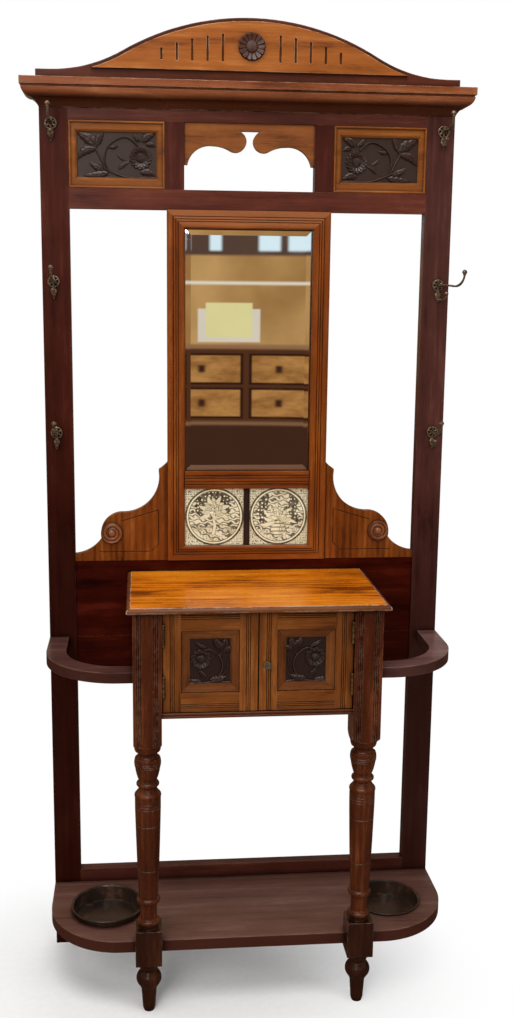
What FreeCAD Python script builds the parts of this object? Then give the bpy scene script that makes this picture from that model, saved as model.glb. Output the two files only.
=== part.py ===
"""Mahogany hall stand with hooks, bevelled mirror, glove cupboard and two umbrella stands.

Millimetres, +Z up, +X to the right of someone facing it, -Y towards that person.  The origin is on the
floor, in the middle of the whole stand.  Every driving size is a cell of the sheet, and each piece is
bound to those cells, so that a change of one size carries its neighbours with it.
"""
import FreeCAD, Part
import math
import os
import Sketcher

# ---------------------------------------------------------------------------------------------------
# Driving sizes, each written once.
# ---------------------------------------------------------------------------------------------------
SIZES = {
    # back frame
    "frame_width": 1000, "frame_height": 2190, "frame_thickness": 30, "stile_width": 67,
    "top_rail_height": 72, "frieze_opening": 157, "frieze_rail_height": 47,
    "muntin_width": 46, "centre_opening": 316,
    "back_board_top": 1048, "back_board_height": 198, "back_rail_height": 99, "back_board_thickness": 20,
    "back_board_recess": 3, "bottom_rail_height": 34,
    # cornice and pediment
    "cornice_height": 46, "cornice_projection": 41, "cornice_cap": 17,
    "pediment_thickness": 20, "pediment_forward": 15, "pediment_overhang": 5, "pediment_shoulder": 20,
    "pediment_flat": 31, "pediment_rise": 126, "crown_share": 0.64,
    "tympanum_inset": 9, "tympanum_lift": 5, "tympanum_thickness": 8,
    "slot_width": 5, "slot_depth": 4, "slot_pitch": 36, "slot_first": 68, "slot_foot": 21, "slot_head": 26,
    "rosette_radius": 32, "rosette_thickness": 9, "rosette_level": 55,
    # frieze panels and apron
    "frieze_side": 20, "frieze_edge": 26, "frieze_moulding_depth": 18, "frieze_bead": 6,
    "frieze_face": 4, "panel_rebate": 5, "frieze_panel_thickness": 7, "fit_gap": 0.2,
    "apron_thickness": 16, "apron_setback": 4, "apron_drop": 98, "apron_arch": 51, "apron_lobe": 64,
    "apron_notch": 18, "apron_notch_half": 26, "apron_throat_half": 8, "apron_tip": 8,
    # mirror, tiles and their frame
    "mirror_frame_width": 400, "mirror_member": 43, "mirror_frame_proud": 4, "mirror_frame_depth": 26,
    "mirror_lip": 10, "mirror_rebate": 6, "mirror_foot_member": 37, "transom_height": 44,
    "reed_width": 2.4, "reed_depth": 1.6, "mirror_glass_thickness": 5, "mirror_bevel": 15,
    "mirror_bevel_depth": 2, "mirror_board_thickness": 4,
    "tile_size": 152.4, "tile_thickness": 9, "tile_gap": 10.8, "tile_opening": 147, "tile_strip": 15.2,
    "tile_strip_thickness": 4,
    # scrolled brackets
    "bracket_height": 251, "bracket_thickness": 18, "bracket_setback": 2, "bracket_toe": 18,
    "incised_width": 2, "incised_depth": 1.5, "incised_inset": 22,
    "scroll_radius": 27, "scroll_eye": 10, "scroll_relief": 4, "scroll_eye_relief": 9,
    # coat hooks
    "hook_inset": 27, "hook_top": 2108, "hook_pitch": 367, "hook_plate_radius": 15, "hook_plate": 3,
    "hook_tail": 27, "hook_tail_width": 14, "hook_arm": 3.5, "hook_root": 2.2, "hook_reach": 55, "hook_curl": 30,
    "hook_ball": 6.5, "hook_lower_arm": 3, "hook_lower_reach": 16, "hook_lower_curl": 13,
    "hook_lower_ball": 5, "hook_screw_radius": 2, "hook_screw_length": 16, "hook_screw_head": 3.5,
    "hook_screw_head_depth": 1.5, "hook_screw_rise": 8, "hook_screw_fall": 20, "screw_clearance": 0.1,
    # umbrella rings, shelf and drip pans
    "ring_top": 851, "ring_thickness": 26, "ring_band": 48, "ring_reach": 293, "ring_straight": 31.5,
    "shelf_top": 175, "shelf_thickness": 29, "shelf_reach": 297,
    "pan_margin": 58, "pan_tuck": 14.5, "pan_forward": 145, "pan_clearance": 0.5, "pan_wall": 1.2,
    "pan_taper": 8, "pan_drop": 32, "pan_rim": 2.2, "pan_seat_gap": 0.3, "proud_pan_lift": 13,
    # cupboard
    "cabinet_width": 577, "cabinet_depth": 361, "cabinet_top_level": 1020, "cabinet_top_thickness": 13,
    "cabinet_side_overhang": 13.5, "cabinet_front_overhang": 23, "cabinet_top_round": 6,
    "cabinet_top_quirk": 1.5, "cabinet_top_run": 9,
    "post_size": 66, "post_foot": 680, "post_toe": 14, "post_reed_inset": 9, "post_reed_pitch": 4.5,
    "cabinet_side_thickness": 16, "cabinet_floor_level": 764, "cabinet_floor_thickness": 13,
    "door_setback": 8, "door_thickness": 20, "door_hinge_gap": 2, "door_meeting_gap": 3, "door_gap": 1.5,
    "door_stile": 42, "door_top_rail": 46, "door_rail_reeds": 14, "door_bottom_rail": 46, "door_reed_inset": 17.5,
    "door_reed_pitch": 4.5, "door_moulding": 21, "door_moulding_depth": 18, "door_panel_thickness": 8,
    "door_stop": 10, "door_stop_height": 12,
    "hinge_length": 41, "hinge_knuckle": 3.2, "hinge_clearance": 0.3, "hinge_leaf": 0.8,
    "hinge_leaf_width": 15, "hinge_pin": 1.2, "hinge_pin_clearance": 0.05, "hinge_finial": 3.4,
    "hinge_low": 60, "hinge_high": 184,
    "lock_level": 111, "lock_inset": 18.5, "lock_case_width": 33, "lock_case_height": 36,
    "lock_case_depth": 8, "lock_wall": 1.2, "lock_edge": 4, "bolt_height": 10, "bolt_length": 18,
    "bolt_thickness": 4, "lock_clearance": 0.3, "key_shank": 2.2, "key_hole_clearance": 0.4,
    "key_stand": 14, "key_bow": 8, "key_bow_hole": 4.5, "key_bow_thickness": 3, "key_bit": 5,
    "key_bit_width": 1.6, "escutcheon_radius": 8, "escutcheon_thickness": 1.2,
    # front leg turning: block and foot
    "block_size": 63, "block_low": 130, "block_high": 220, "ring_line_depth": 1.1, "ring_line_width": 2.2,
}

# Turned profile of a front leg.  Upper stations are measured down from the foot of the post, lower ones
# up from the floor, and the long vase between them takes up any change of height.  An arc bulges by the
# third figure on the way to the next station.
UPPER_TURNING = [
    # name, below the post, radius, bulge to the next station
    ("collar_top", 0, 32, 0.8), ("collar_foot", 14, 29.5, 0),
    ("hollow_top", 16, 26, -3), ("hollow_foot", 29, 26, 0),
    ("bulb_top", 31, 29.5, 2), ("bulb_foot", 55, 29.5, 1),
    ("waist", 86, 21.5, 0),
    ("waist_ring_top", 90, 22, 5), ("waist_ring_foot", 102, 22, 0),
    ("waist_foot", 108, 21, 0),
    ("vase_lip", 118, 28.5, 2), ("vase_lip_foot", 128, 30.5, 0),
    ("vase_shoulder", 152, 30.5, 0.8),
]
LOWER_TURNING = [
    # name, above the floor, radius, bulge to the next station
    ("vase_foot", 300, 23, 0),
    ("upper_bead_top", 297, 23, 5.5), ("upper_bead_foot", 283, 23, 0),
    ("between_beads", 273, 20.5, 0), ("lower_neck", 245, 20, 0),
    ("lower_bead_top", 241, 22, 5.5), ("lower_bead_foot", 228, 22, 0),
    ("block_neck", 214, 26, 0),
]
FOOT_TURNING = [
    # name, above the floor, radius, bulge to the next station
    ("foot_neck", 136, 25, 0),
    ("foot_ring_top", 128, 23, 2), ("foot_ring_foot", 114, 23, 0),
    ("foot_waist", 106, 20, 0),
    ("foot_bulb_top", 99, 25, 5.5), ("foot_bulb_foot", 70, 25, 0),
    ("ankle", 59, 18.5, 0), ("toe", 8, 15, 0), ("sole", 0, 12.5, 0),
]
# Fine lines cut round the vase: depth of each below the post, and the radius of the surface it is cut in.
INCISED_RINGS = [
    ("bulb_line_upper", 42, 31.5), ("bulb_line_middle", 46.5, 31.3), ("bulb_line_lower", 51, 30.6),
    ("vase_line_first", 139, 30.5), ("vase_line_second", 146, 30.5), ("vase_line_third", 153, 30.5),
    ("vase_line_fourth", 196, 29.4), ("vase_line_last", 309, 25.8),
]
for turning in (UPPER_TURNING, LOWER_TURNING, FOOT_TURNING, INCISED_RINGS):
    for station, level, radius, *_ in turning:
        SIZES[station + "_level"] = level
        SIZES[station + "_radius"] = radius

doc = FreeCAD.newDocument("hall_stand")
sheet = doc.addObject("Spreadsheet::Sheet", "sizes")
for row, (alias, number) in enumerate(SIZES.items(), start=1):
    sheet.set("A%d" % row, alias)
    sheet.set("B%d" % row, str(number))
    sheet.setAlias("B%d" % row, alias)
doc.recompute()


class Size:
    """A length that knows its value now and the sheet formula that gives it."""

    def __init__(self, value, formula):
        self.value = value
        self.formula = formula

    def __add__(self, other):
        other = as_size(other)
        return Size(self.value + other.value, "(%s + %s)" % (self.formula, other.formula))

    def __sub__(self, other):
        other = as_size(other)
        return Size(self.value - other.value, "(%s - %s)" % (self.formula, other.formula))

    def __mul__(self, other):
        other = as_size(other)
        return Size(self.value * other.value, "(%s * %s)" % (self.formula, other.formula))

    def __truediv__(self, other):
        other = as_size(other)
        return Size(self.value / other.value, "(%s / %s)" % (self.formula, other.formula))

    def __radd__(self, other):
        return as_size(other) + self

    def __rsub__(self, other):
        return as_size(other) - self

    def __rmul__(self, other):
        return as_size(other) * self

    def __neg__(self):
        return as_size(0) - self


def as_size(thing):
    """A plain number as a Size, so that both take part in the same sums."""
    return thing if isinstance(thing, Size) else Size(float(thing), "(%r)" % float(thing))


def root(size):
    """Square root of a Size."""
    return Size(math.sqrt(size.value), "sqrt(%s)" % size.formula)


def cell(alias):
    """The Size held by one cell of the sheet."""
    return Size(float(sheet.get(alias)), "sizes." + alias)


class Cells:
    """Every cell of the sheet as an attribute: s.stile_width is the Size of that cell."""

    def __getattr__(self, alias):
        return cell(alias)


s = Cells()
nodes = []


def bind(thing, prop, size):
    """Give a property the value and the formula of a Size."""
    thing.setExpression(prop, as_size(size).formula)


def place(thing, x=0, y=0, z=0):
    """Bind a piece's place."""
    bind(thing, "Placement.Base.x", x)
    bind(thing, "Placement.Base.y", y)
    bind(thing, "Placement.Base.z", z)


def node(name, *pieces):
    """Make a sub-part of one piece, or of several separate pieces that share a node."""
    piece = pieces[0]
    if len(pieces) > 1:
        piece = doc.addObject("Part::Compound", name)
        piece.Links = list(pieces)
    piece.Label = name
    nodes.append(piece)
    return piece


# ---------------------------------------------------------------------------------------------------
# Ways of making a piece.
# ---------------------------------------------------------------------------------------------------
def block(name, x, y, z):
    """A squared block from low to high along each axis."""
    piece = doc.addObject("Part::Box", name)
    bind(piece, "Length", x[1] - x[0])
    bind(piece, "Width", y[1] - y[0])
    bind(piece, "Height", z[1] - z[0])
    place(piece, x[0], y[0], z[0])
    return piece


UP = FreeCAD.Rotation()
FORWARD = FreeCAD.Rotation(FreeCAD.Vector(0, 0, 1), FreeCAD.Vector(0, -1, 0))


def rod(name, radius, length, centre, rotation=UP):
    """A cylinder that starts at a centre and runs along the rotated Z axis."""
    piece = doc.addObject("Part::Cylinder", name)
    piece.Placement.Rotation = rotation
    bind(piece, "Radius", radius)
    bind(piece, "Height", length)
    place(piece, *centre)
    return piece


def ball(name, radius, centre):
    """A sphere about a centre."""
    piece = doc.addObject("Part::Sphere", name)
    bind(piece, "Radius", radius)
    place(piece, *centre)
    return piece


def joined(name, *pieces):
    """Several shapes worked in one piece of material."""
    piece = doc.addObject("Part::MultiFuse", name)
    piece.Shapes = list(pieces)
    return piece


def cut(name, base, *tools):
    """A piece with the tools' shapes taken out of it."""
    tool = tools[0]
    if len(tools) > 1:
        tool = doc.addObject("Part::Compound", name + "_tools")
        tool.Links = list(tools)
    piece = doc.addObject("Part::Cut", name)
    piece.Base = base
    piece.Tool = tool
    return piece


def common(name, base, tool):
    """What two shapes share: a moulding trimmed to its mitres."""
    piece = doc.addObject("Part::Common", name)
    piece.Base = base
    piece.Tool = tool
    return piece


VIA = "via"


def draw(sketch, outline):
    """Draw a closed outline: straight sides between corners, or an arc where a VIA point stands between."""
    corners = [place_no for place_no, point in enumerate(outline) if point[-1] != VIA]
    sides = []
    for this, following in zip(corners, corners[1:] + [corners[0] + len(outline)]):
        start = outline[this]
        stop = outline[following % len(outline)]
        first, last = vector(start), vector(stop)
        if following - this == 1:
            side = (sketch.addGeometry(Part.LineSegment(first, last)), 1, 2)
        else:
            middle = outline[this + 1]
            by = vector(middle)
            anticlockwise = (by - first).cross(last - by).z > 0
            arc = Part.Arc(first, by, last) if anticlockwise else Part.Arc(last, by, first)
            line = sketch.addGeometry(arc)
            side = (line, 1, 2) if anticlockwise else (line, 2, 1)
            mark = sketch.addGeometry(Part.Point(by), True)
            pin_point(sketch, mark, 1, middle)
            sketch.addConstraint(Sketcher.Constraint("PointOnObject", mark, 1, line))
        sides.append((side, start))
    for (side, start), (following, _) in zip(sides, sides[1:] + sides[:1]):
        sketch.addConstraint(Sketcher.Constraint("Coincident", side[0], side[2], following[0], following[1]))
        pin_point(sketch, side[0], side[1], start)


def vector(point):
    """A point of an outline where it is now."""
    return FreeCAD.Vector(as_size(point[0]).value, as_size(point[1]).value, 0)


def pin_point(sketch, line, end, point):
    """Bind a point of a sketch across and up from the sketch's origin."""
    for kind, size in (("DistanceX", as_size(point[0])), ("DistanceY", as_size(point[1]))):
        number = sketch.addConstraint(Sketcher.Constraint(kind, -1, 1, line, end, size.value))
        sketch.setExpression("Constraints[%d]" % number, size.formula)


def circle(sketch, centre, radius):
    """A bound circle in a sketch."""
    line = sketch.addGeometry(Part.Circle(vector(centre), FreeCAD.Vector(0, 0, 1), radius.value))
    pin_point(sketch, line, 3, centre)
    number = sketch.addConstraint(Sketcher.Constraint("Radius", line, radius.value))
    sketch.setExpression("Constraints[%d]" % number, radius.formula)


def sketched_body(name, plane):
    """A body with an empty sketch on one of its own planes."""
    body = doc.addObject("PartDesign::Body", name)
    support = [item for item in body.Origin.OriginFeatures if item.Role == plane][0]
    sketch = body.newObject("Sketcher::SketchObject", name + "_sketch")
    sketch.AttachmentSupport = [(support, "")]
    sketch.MapMode = "FlatFace"
    return body, sketch


def padded(name, plane, outline, length, start, holes=()):
    """An outline drawn on a plane and carried along it: XY goes up, YZ to the right, XZ towards -Y."""
    body, sketch = sketched_body(name, plane)
    draw(sketch, outline)
    for centre, radius in holes:
        circle(sketch, centre, radius)
    pad = body.newObject("PartDesign::Pad", name + "_pad")
    pad.Profile = sketch
    bind(pad, "Length", length)
    axis = {"XY_Plane": "z", "YZ_Plane": "x", "XZ_Plane": "y"}[plane]
    bind(body, "Placement.Base." + axis, start)
    return body


def upright(name, plan, z, holes=()):
    """A plan carried up from z[0] to z[1]."""
    return padded(name, "XY_Plane", plan, z[1] - z[0], z[0], holes)


def crosswise(name, section, x):
    """A section in Y and Z carried from x[0] to x[1]."""
    return padded(name, "YZ_Plane", section, x[1] - x[0], x[0])


def fretted(name, front_view, y, holes=()):
    """A front view in X and Z carried back from y[0] to y[1]."""
    return padded(name, "XZ_Plane", front_view, y[1] - y[0], y[1], holes)


def turned(name, half_section, x, y, z=0):
    """A half section of radius and height turned about an upright axis."""
    body, sketch = sketched_body(name, "XZ_Plane")
    draw(sketch, half_section)
    spin = body.newObject("PartDesign::Revolution", name + "_turning")
    spin.Profile = sketch
    spin.ReferenceAxis = (sketch, ["V_Axis"])
    spin.Angle = 360
    place(body, x, y, z)
    return body


def span(side, inner, outer):
    """Low and high X of a piece between two distances from the middle, on side -1 or +1."""
    return (inner, outer) if side > 0 else (-outer, -inner)


def reeded_edge(start, end, face, into, marks, along_first):
    """Points of an edge with V grooves at marks; into is +1 or -1, the way a groove goes into the wood."""
    points = [(start, face)]
    half = s.reed_width / 2
    for mark in marks:
        points += [(mark - half, face), (mark, face + s.reed_depth * into), (mark + half, face)]
    points.append((end, face))
    return points if along_first else [(b, a) for a, b in points]


SIDES = ((-1, "left"), (1, "right"))

# ---------------------------------------------------------------------------------------------------
# Levels and planes that several pieces share.
# ---------------------------------------------------------------------------------------------------
front = (s.cabinet_depth - s.frame_thickness) / 2        # front face of the stiles
back = front + s.frame_thickness
half = s.frame_width / 2
stile_inner = half - s.stile_width
top_rail_low = s.frame_height - s.top_rail_height
frieze_low = top_rail_low - s.frieze_opening             # top of the frieze rail
frieze_rail_low = frieze_low - s.frieze_rail_height
centre_half = s.centre_opening / 2
muntin_outer = centre_half + s.muntin_width
cap_low = s.frame_height
cap_high = cap_low + s.cornice_cap
board_low = s.back_board_top - s.back_board_height
board_front = front + s.back_board_recess
board_back = board_front + s.back_board_thickness
mirror_half = s.mirror_frame_width / 2

# ---------------------------------------------------------------------------------------------------
# Back frame: two stiles to the floor, rails and muntins tenoned between them.
# ---------------------------------------------------------------------------------------------------
HOOK_RANKS = ("upper", "middle", "lower")


def screw_rods(name, side, radius, length, start):
    """A rod along each hook screw of one stile, two for each hook."""
    rods = []
    for number, rank in enumerate(HOOK_RANKS):
        plate_z = s.hook_top - s.hook_pitch * number
        for word, rise in (("high", s.hook_screw_rise), ("low", -s.hook_screw_fall)):
            rods.append(rod("%s_%s_%s" % (name, rank, word), radius, length,
                            ((half - s.hook_inset) * side, start, plate_z + rise), FORWARD))
    return rods


screw_end = front - s.hook_plate + s.hook_screw_length
for side, word in SIDES:
    upright_blank = block(word + "_stile_blank", span(side, stile_inner, half), (front, back),
                          (as_size(0), s.frame_height))
    pilots = screw_rods(word + "_pilot", side, s.hook_screw_radius + s.screw_clearance,
                        s.hook_screw_length, screw_end + s.screw_clearance)
    node(word + "_stile", cut(word + "_stile", upright_blank, *pilots))
node("muntins", *[block(word + "_muntin", span(side, centre_half, muntin_outer), (front, back),
                        (frieze_low, top_rail_low)) for side, word in SIDES])
between_stiles = (-stile_inner, stile_inner)
node("top_rail", block("top_rail", between_stiles, (front, back), (top_rail_low, s.frame_height)))
node("frieze_rail", block("frieze_rail", between_stiles, (front, back), (frieze_rail_low, frieze_low)))
node("bottom_rail", block("bottom_rail", between_stiles, (front, back),
                          (s.shelf_top, s.shelf_top + s.bottom_rail_height)))
node("back_board", block("back_board", between_stiles, (board_front, board_back),
                         (board_low, s.back_board_top)))
node("lower_back_board", block("lower_back_board", between_stiles, (board_front, board_back),
                               (board_low - s.back_rail_height, board_low)))

# ---------------------------------------------------------------------------------------------------
# Cornice: a cove and ovolo moulding, mitred round the front and both ends, under a cap board.
# ---------------------------------------------------------------------------------------------------
cornice_low = s.frame_height - s.cornice_height
CORNICE = [(0, 0), (7, 12, VIA), (17, 20), (19, 20), (31, 26, VIA), (38, 41), (36, 43)]


def cornice_section(face, way):
    """Cornice profile in its own plane, standing off a face one way."""
    section = []
    for point in CORNICE:
        offset = s.cornice_projection * (point[0] / 41.0)
        height = s.cornice_height * (point[1] / 46.0)
        section.append((face + offset * way, cornice_low + height) + tuple(point[2:]))
    section.append((section[-1][0], s.frame_height))
    section.append((face, s.frame_height))
    return section


cornice_x = half + s.cornice_projection
cornice_y = front - s.cornice_projection
front_plan = [(-half, front), (-cornice_x, cornice_y), (cornice_x, cornice_y), (half, front)]
node("cornice_front", common(
    "cornice_front",
    crosswise("cornice_front_run", cornice_section(front, -1), (-cornice_x, cornice_x)),
    upright("cornice_front_mitres", front_plan, (cornice_low, s.frame_height))))
returns = []
for side, word in SIDES:
    plan = [(half * side, back), (half * side, front), (cornice_x * side, cornice_y), (cornice_x * side, back)]
    returns.append(common(
        word + "_cornice_return",
        fretted(word + "_cornice_run", cornice_section(half * side, side), (cornice_y, back)),
        upright(word + "_cornice_mitre", plan, (cornice_low, s.frame_height))))
node("cornice_returns", *returns)
node("cornice_cap", block("cornice_cap", (-cornice_x, cornice_x), (cornice_y, back), (cap_low, cap_high)))

# ---------------------------------------------------------------------------------------------------
# Pediment: a board sawn to a crown that runs out in two hollow curves, with a panel planted on it.
# The crown and a hollow meet where both lean by the same angle, so their two radii add up to one total.
# ---------------------------------------------------------------------------------------------------
pediment_half = half + s.pediment_overhang
curve_half = pediment_half - s.pediment_flat
both_radii = (curve_half * curve_half + s.pediment_rise * s.pediment_rise) / (s.pediment_rise * 2)
crown_radius = both_radii * s.crown_share
hollow_radius = both_radii - crown_radius
lean_sine = curve_half / both_radii
lean_cosine = 1 - s.pediment_rise / both_radii
shoulder = cap_high + s.pediment_shoulder
crown_centre = shoulder + s.pediment_rise - crown_radius
hollow_centre = shoulder + hollow_radius


def crown_height(x, inset):
    """Height of the crown's arc at X, drawn in by an inset."""
    radius = crown_radius - inset
    return crown_centre + root(radius * radius - x * x)


def hollow_height(x, inset):
    """Height of the hollow's arc at X, drawn down by an inset."""
    radius = hollow_radius + inset
    run = curve_half - x
    return hollow_centre - root(radius * radius - run * run)


def crown_outline(inset, end_x, end_z, foot):
    """Outline under the crown: foot line, hollow, crown, hollow."""
    meet_x = (crown_radius - inset) * lean_sine
    meet_z = crown_centre + (crown_radius - inset) * lean_cosine
    between = (end_x + meet_x) / 2
    right = [(end_x, end_z), (between, hollow_height(between, inset), VIA), (meet_x, meet_z)]
    left = [(-point[0],) + tuple(point[1:]) for point in reversed(right)]
    return foot + right + [(as_size(0), crown_height(as_size(0), inset), VIA)] + left


pediment_y = (front - s.pediment_forward, front - s.pediment_forward + s.pediment_thickness)
node("pediment_board", fretted(
    "pediment_board",
    crown_outline(as_size(0), curve_half, shoulder,
                  [(-pediment_half, shoulder), (-pediment_half, cap_high), (pediment_half, cap_high),
                   (pediment_half, shoulder)]), pediment_y))
tympanum_low = shoulder + s.tympanum_lift
tip_run = root((hollow_radius + s.tympanum_inset) * (hollow_radius + s.tympanum_inset)
               - (hollow_centre - tympanum_low) * (hollow_centre - tympanum_low))
tympanum_y = (pediment_y[0] - s.tympanum_thickness, pediment_y[0])
panel = fretted("tympanum_blank", crown_outline(s.tympanum_inset, curve_half - tip_run, tympanum_low, []),
                tympanum_y)
slots = []
for side, word in SIDES:
    for place_no in range(5):
        middle = s.slot_first + s.slot_pitch * place_no
        slots.append(block("%s_slot_%d" % (word, place_no + 1),
                           span(side, middle - s.slot_width / 2, middle + s.slot_width / 2),
                           (tympanum_y[0] - 1, tympanum_y[0] + s.slot_depth),
                           (tympanum_low + s.slot_foot, crown_height(middle, s.tympanum_inset) - s.slot_head)))
node("tympanum_panel", cut("tympanum_panel", panel, *slots))
node("tympanum_rosette", rod("tympanum_rosette", s.rosette_radius, s.rosette_thickness,
                             (as_size(0), tympanum_y[0], tympanum_low + s.rosette_level), FORWARD))

# ---------------------------------------------------------------------------------------------------
# Mitred frames of moulding, used round the frieze panels and in the doors.
# ---------------------------------------------------------------------------------------------------
def mitred_frame(name, x, z, side_width, edge_width, y_back, section):
    """Four mitred lengths round an opening; section(width) gives (across, back from the face) points."""
    pieces = []
    inner_x = (x[0] + side_width, x[1] - side_width)
    inner_z = (z[0] + edge_width, z[1] - edge_width)
    for end, word in ((0, "low"), (1, "high")):
        way = 1 if end == 0 else -1
        upright_section = [(x[end] + point[0] * way,) + tuple(point[1:]) for point in section(side_width)]
        level_section = [(point[1], z[end] + point[0] * way) + tuple(point[2:]) for point in section(edge_width)]
        side_view = [(x[end], z[0]), (inner_x[end], inner_z[0]), (inner_x[end], inner_z[1]), (x[end], z[1])]
        edge_view = [(x[0], z[end]), (inner_x[0], inner_z[end]), (inner_x[1], inner_z[end]), (x[1], z[end])]
        depth = (y_back - s.frieze_moulding_depth * 2, y_back)
        pieces.append(common("%s_%s_side" % (name, word),
                             upright("%s_%s_side_run" % (name, word), upright_section, z),
                             fretted("%s_%s_side_mitres" % (name, word), side_view, depth)))
        pieces.append(common("%s_%s_rail" % (name, word),
                             crosswise("%s_%s_rail_run" % (name, word), level_section, x),
                             fretted("%s_%s_rail_mitres" % (name, word), edge_view, depth)))
    return pieces


def frieze_section(width):
    """Bead at the outer edge, flat face, bevel and a rebate for the panel."""
    face = front + s.frieze_face
    moulding_back = front + s.frieze_moulding_depth
    rebate_front = moulding_back - s.frieze_panel_thickness
    return [(as_size(0), front + 2), (s.frieze_bead / 2, front - 0.5, VIA), (s.frieze_bead, front + 2),
            (s.frieze_bead, face), (width - s.panel_rebate, face), (width, face + 4), (width, rebate_front),
            (width - s.panel_rebate, rebate_front), (width - s.panel_rebate, moulding_back),
            (as_size(0), moulding_back)]


frieze_z = (frieze_low, top_rail_low)
frieze_lengths = []
for side, word in SIDES:
    frieze_x = span(side, muntin_outer, stile_inner)
    frieze_lengths += mitred_frame(word + "_frieze", frieze_x, frieze_z, s.frieze_side, s.frieze_edge,
                                   front + s.frieze_moulding_depth, frieze_section)
    hidden = s.panel_rebate - s.fit_gap
    panel_back = front + s.frieze_moulding_depth
    node(word + "_frieze_carving", block(
        word + "_frieze_carving",
        (frieze_x[0] + s.frieze_side - hidden, frieze_x[1] - s.frieze_side + hidden),
        (panel_back - s.frieze_panel_thickness, panel_back),
        (frieze_z[0] + s.frieze_edge - hidden, frieze_z[1] - s.frieze_edge + hidden)))
node("frieze_mouldings", *frieze_lengths)

# ---------------------------------------------------------------------------------------------------
# Apron: a fretted board under the top rail, between the muntins, with a keyhole notch in the middle.
# ---------------------------------------------------------------------------------------------------
tip_z = top_rail_low - s.apron_drop
arch_z = top_rail_low - s.apron_arch - 2
lobe_z = top_rail_low - s.apron_lobe
notch_z = top_rail_low - s.apron_notch
throat_z = top_rail_low - s.apron_drop * 0.42


def apron_half(side):
    """One half of the fretted lower edge, from the muntin to the notch."""
    route = [(centre_half, tip_z), (centre_half - s.apron_tip, tip_z),
             (centre_half * 0.81, top_rail_low - s.apron_arch - 12, VIA), (centre_half * 0.56, arch_z),
             (centre_half * 0.42, arch_z - 3, VIA), (centre_half * 0.3, lobe_z),
             (s.apron_throat_half + 9, lobe_z + 3, VIA), (s.apron_throat_half, throat_z),
             (s.apron_throat_half + 5, (throat_z + notch_z) / 2 + 2, VIA), (s.apron_notch_half, notch_z)]
    return [(point[0] * side,) + tuple(point[1:]) for point in route]


apron_front = front + s.apron_setback
apron_route = ([(centre_half, top_rail_low)] + apron_half(1) + list(reversed(apron_half(-1)))
               + [(-centre_half, top_rail_low)])
node("apron", fretted("apron", apron_route, (apron_front, apron_front + s.apron_thickness)))

# ---------------------------------------------------------------------------------------------------
# Mirror frame: reeded members with mitred corners and a transom, rebated behind for glass and tiles.
# ---------------------------------------------------------------------------------------------------
mirror_low = s.back_board_top
mirror_high = frieze_rail_low
mirror_front = front - s.mirror_frame_proud
mirror_back = mirror_front + s.mirror_frame_depth
lip_back = mirror_front + s.mirror_lip
sight_half = mirror_half - s.mirror_member
tile_low = mirror_low + s.mirror_foot_member
tile_high = tile_low + s.tile_opening
sight_low = tile_high + s.transom_height
sight_high = mirror_high - s.mirror_member
REED_MARKS = (15, 21.5, 27)


def mirror_section(outer, way, width):
    """Member section: reeded face, lip, rebate; coordinates across and then in Y."""
    marks = [outer + mark * way for mark in REED_MARKS]
    face = [(outer, mirror_front)]
    notch = s.reed_width / 2
    for mark in marks:
        face += [(mark - notch * way, mirror_front), (mark, mirror_front + s.reed_depth),
                 (mark + notch * way, mirror_front)]
    inner = outer + width * way
    step = inner - s.mirror_rebate * way
    return face + [(inner - 3.0 * way, mirror_front), (inner, mirror_front + 3), (inner, lip_back),
                   (step, lip_back), (step, mirror_back), (outer, mirror_back)]


def swapped(points):
    """Points with their first two coordinates exchanged."""
    return [(point[1], point[0]) + tuple(point[2:]) for point in points]


mirror_mitre_y = (mirror_front - 1, mirror_back)
mirror_stiles = []
for side, word in SIDES:
    view = [(mirror_half * side, mirror_low), (sight_half * side, tile_low), (sight_half * side, sight_high),
            (mirror_half * side, mirror_high)]
    mirror_stiles.append(common(
        word + "_mirror_stile",
        upright(word + "_mirror_stile_run", mirror_section(mirror_half * side, -side, s.mirror_member),
                (mirror_low, mirror_high)),
        fretted(word + "_mirror_stile_mitres", view, mirror_mitre_y)))
node("mirror_stiles", *mirror_stiles)
top_view = [(-mirror_half, mirror_high), (-sight_half, sight_high), (sight_half, sight_high),
            (mirror_half, mirror_high)]
foot_view = [(-mirror_half, mirror_low), (-sight_half, tile_low), (sight_half, tile_low),
             (mirror_half, mirror_low)]
across_mirror = (-mirror_half, mirror_half)
mirror_top = common(
    "mirror_top_rail",
    crosswise("mirror_top_run", swapped(mirror_section(mirror_high, -1, s.mirror_member)), across_mirror),
    fretted("mirror_top_mitres", top_view, mirror_mitre_y))
mirror_foot = common(
    "mirror_foot_rail",
    crosswise("mirror_foot_run", swapped(mirror_section(mirror_low, 1, s.mirror_foot_member)), across_mirror),
    fretted("mirror_foot_mitres", foot_view, mirror_mitre_y))
node("mirror_rails", mirror_top, mirror_foot)
transom_marks = [tile_high + s.transom_height * share for share in (0.25, 0.4, 0.6, 0.75)]
transom_section = swapped(
    reeded_edge(tile_high, sight_low, mirror_front, 1, transom_marks, True)
    + [(sight_low, lip_back), (sight_low - s.mirror_rebate, lip_back), (sight_low - s.mirror_rebate, mirror_back),
       (tile_high + s.mirror_rebate, mirror_back), (tile_high + s.mirror_rebate, lip_back), (tile_high, lip_back)])
node("mirror_transom", crosswise("mirror_transom", transom_section, (-sight_half, sight_half)))

glass_margin = s.mirror_rebate - s.fit_gap * 2
glass_x = sight_half + glass_margin
glass_z = (sight_low - glass_margin, sight_high + glass_margin)
glass_back = lip_back + s.mirror_bevel_depth + s.mirror_glass_thickness
glass_face = lip_back + s.fit_gap


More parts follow.
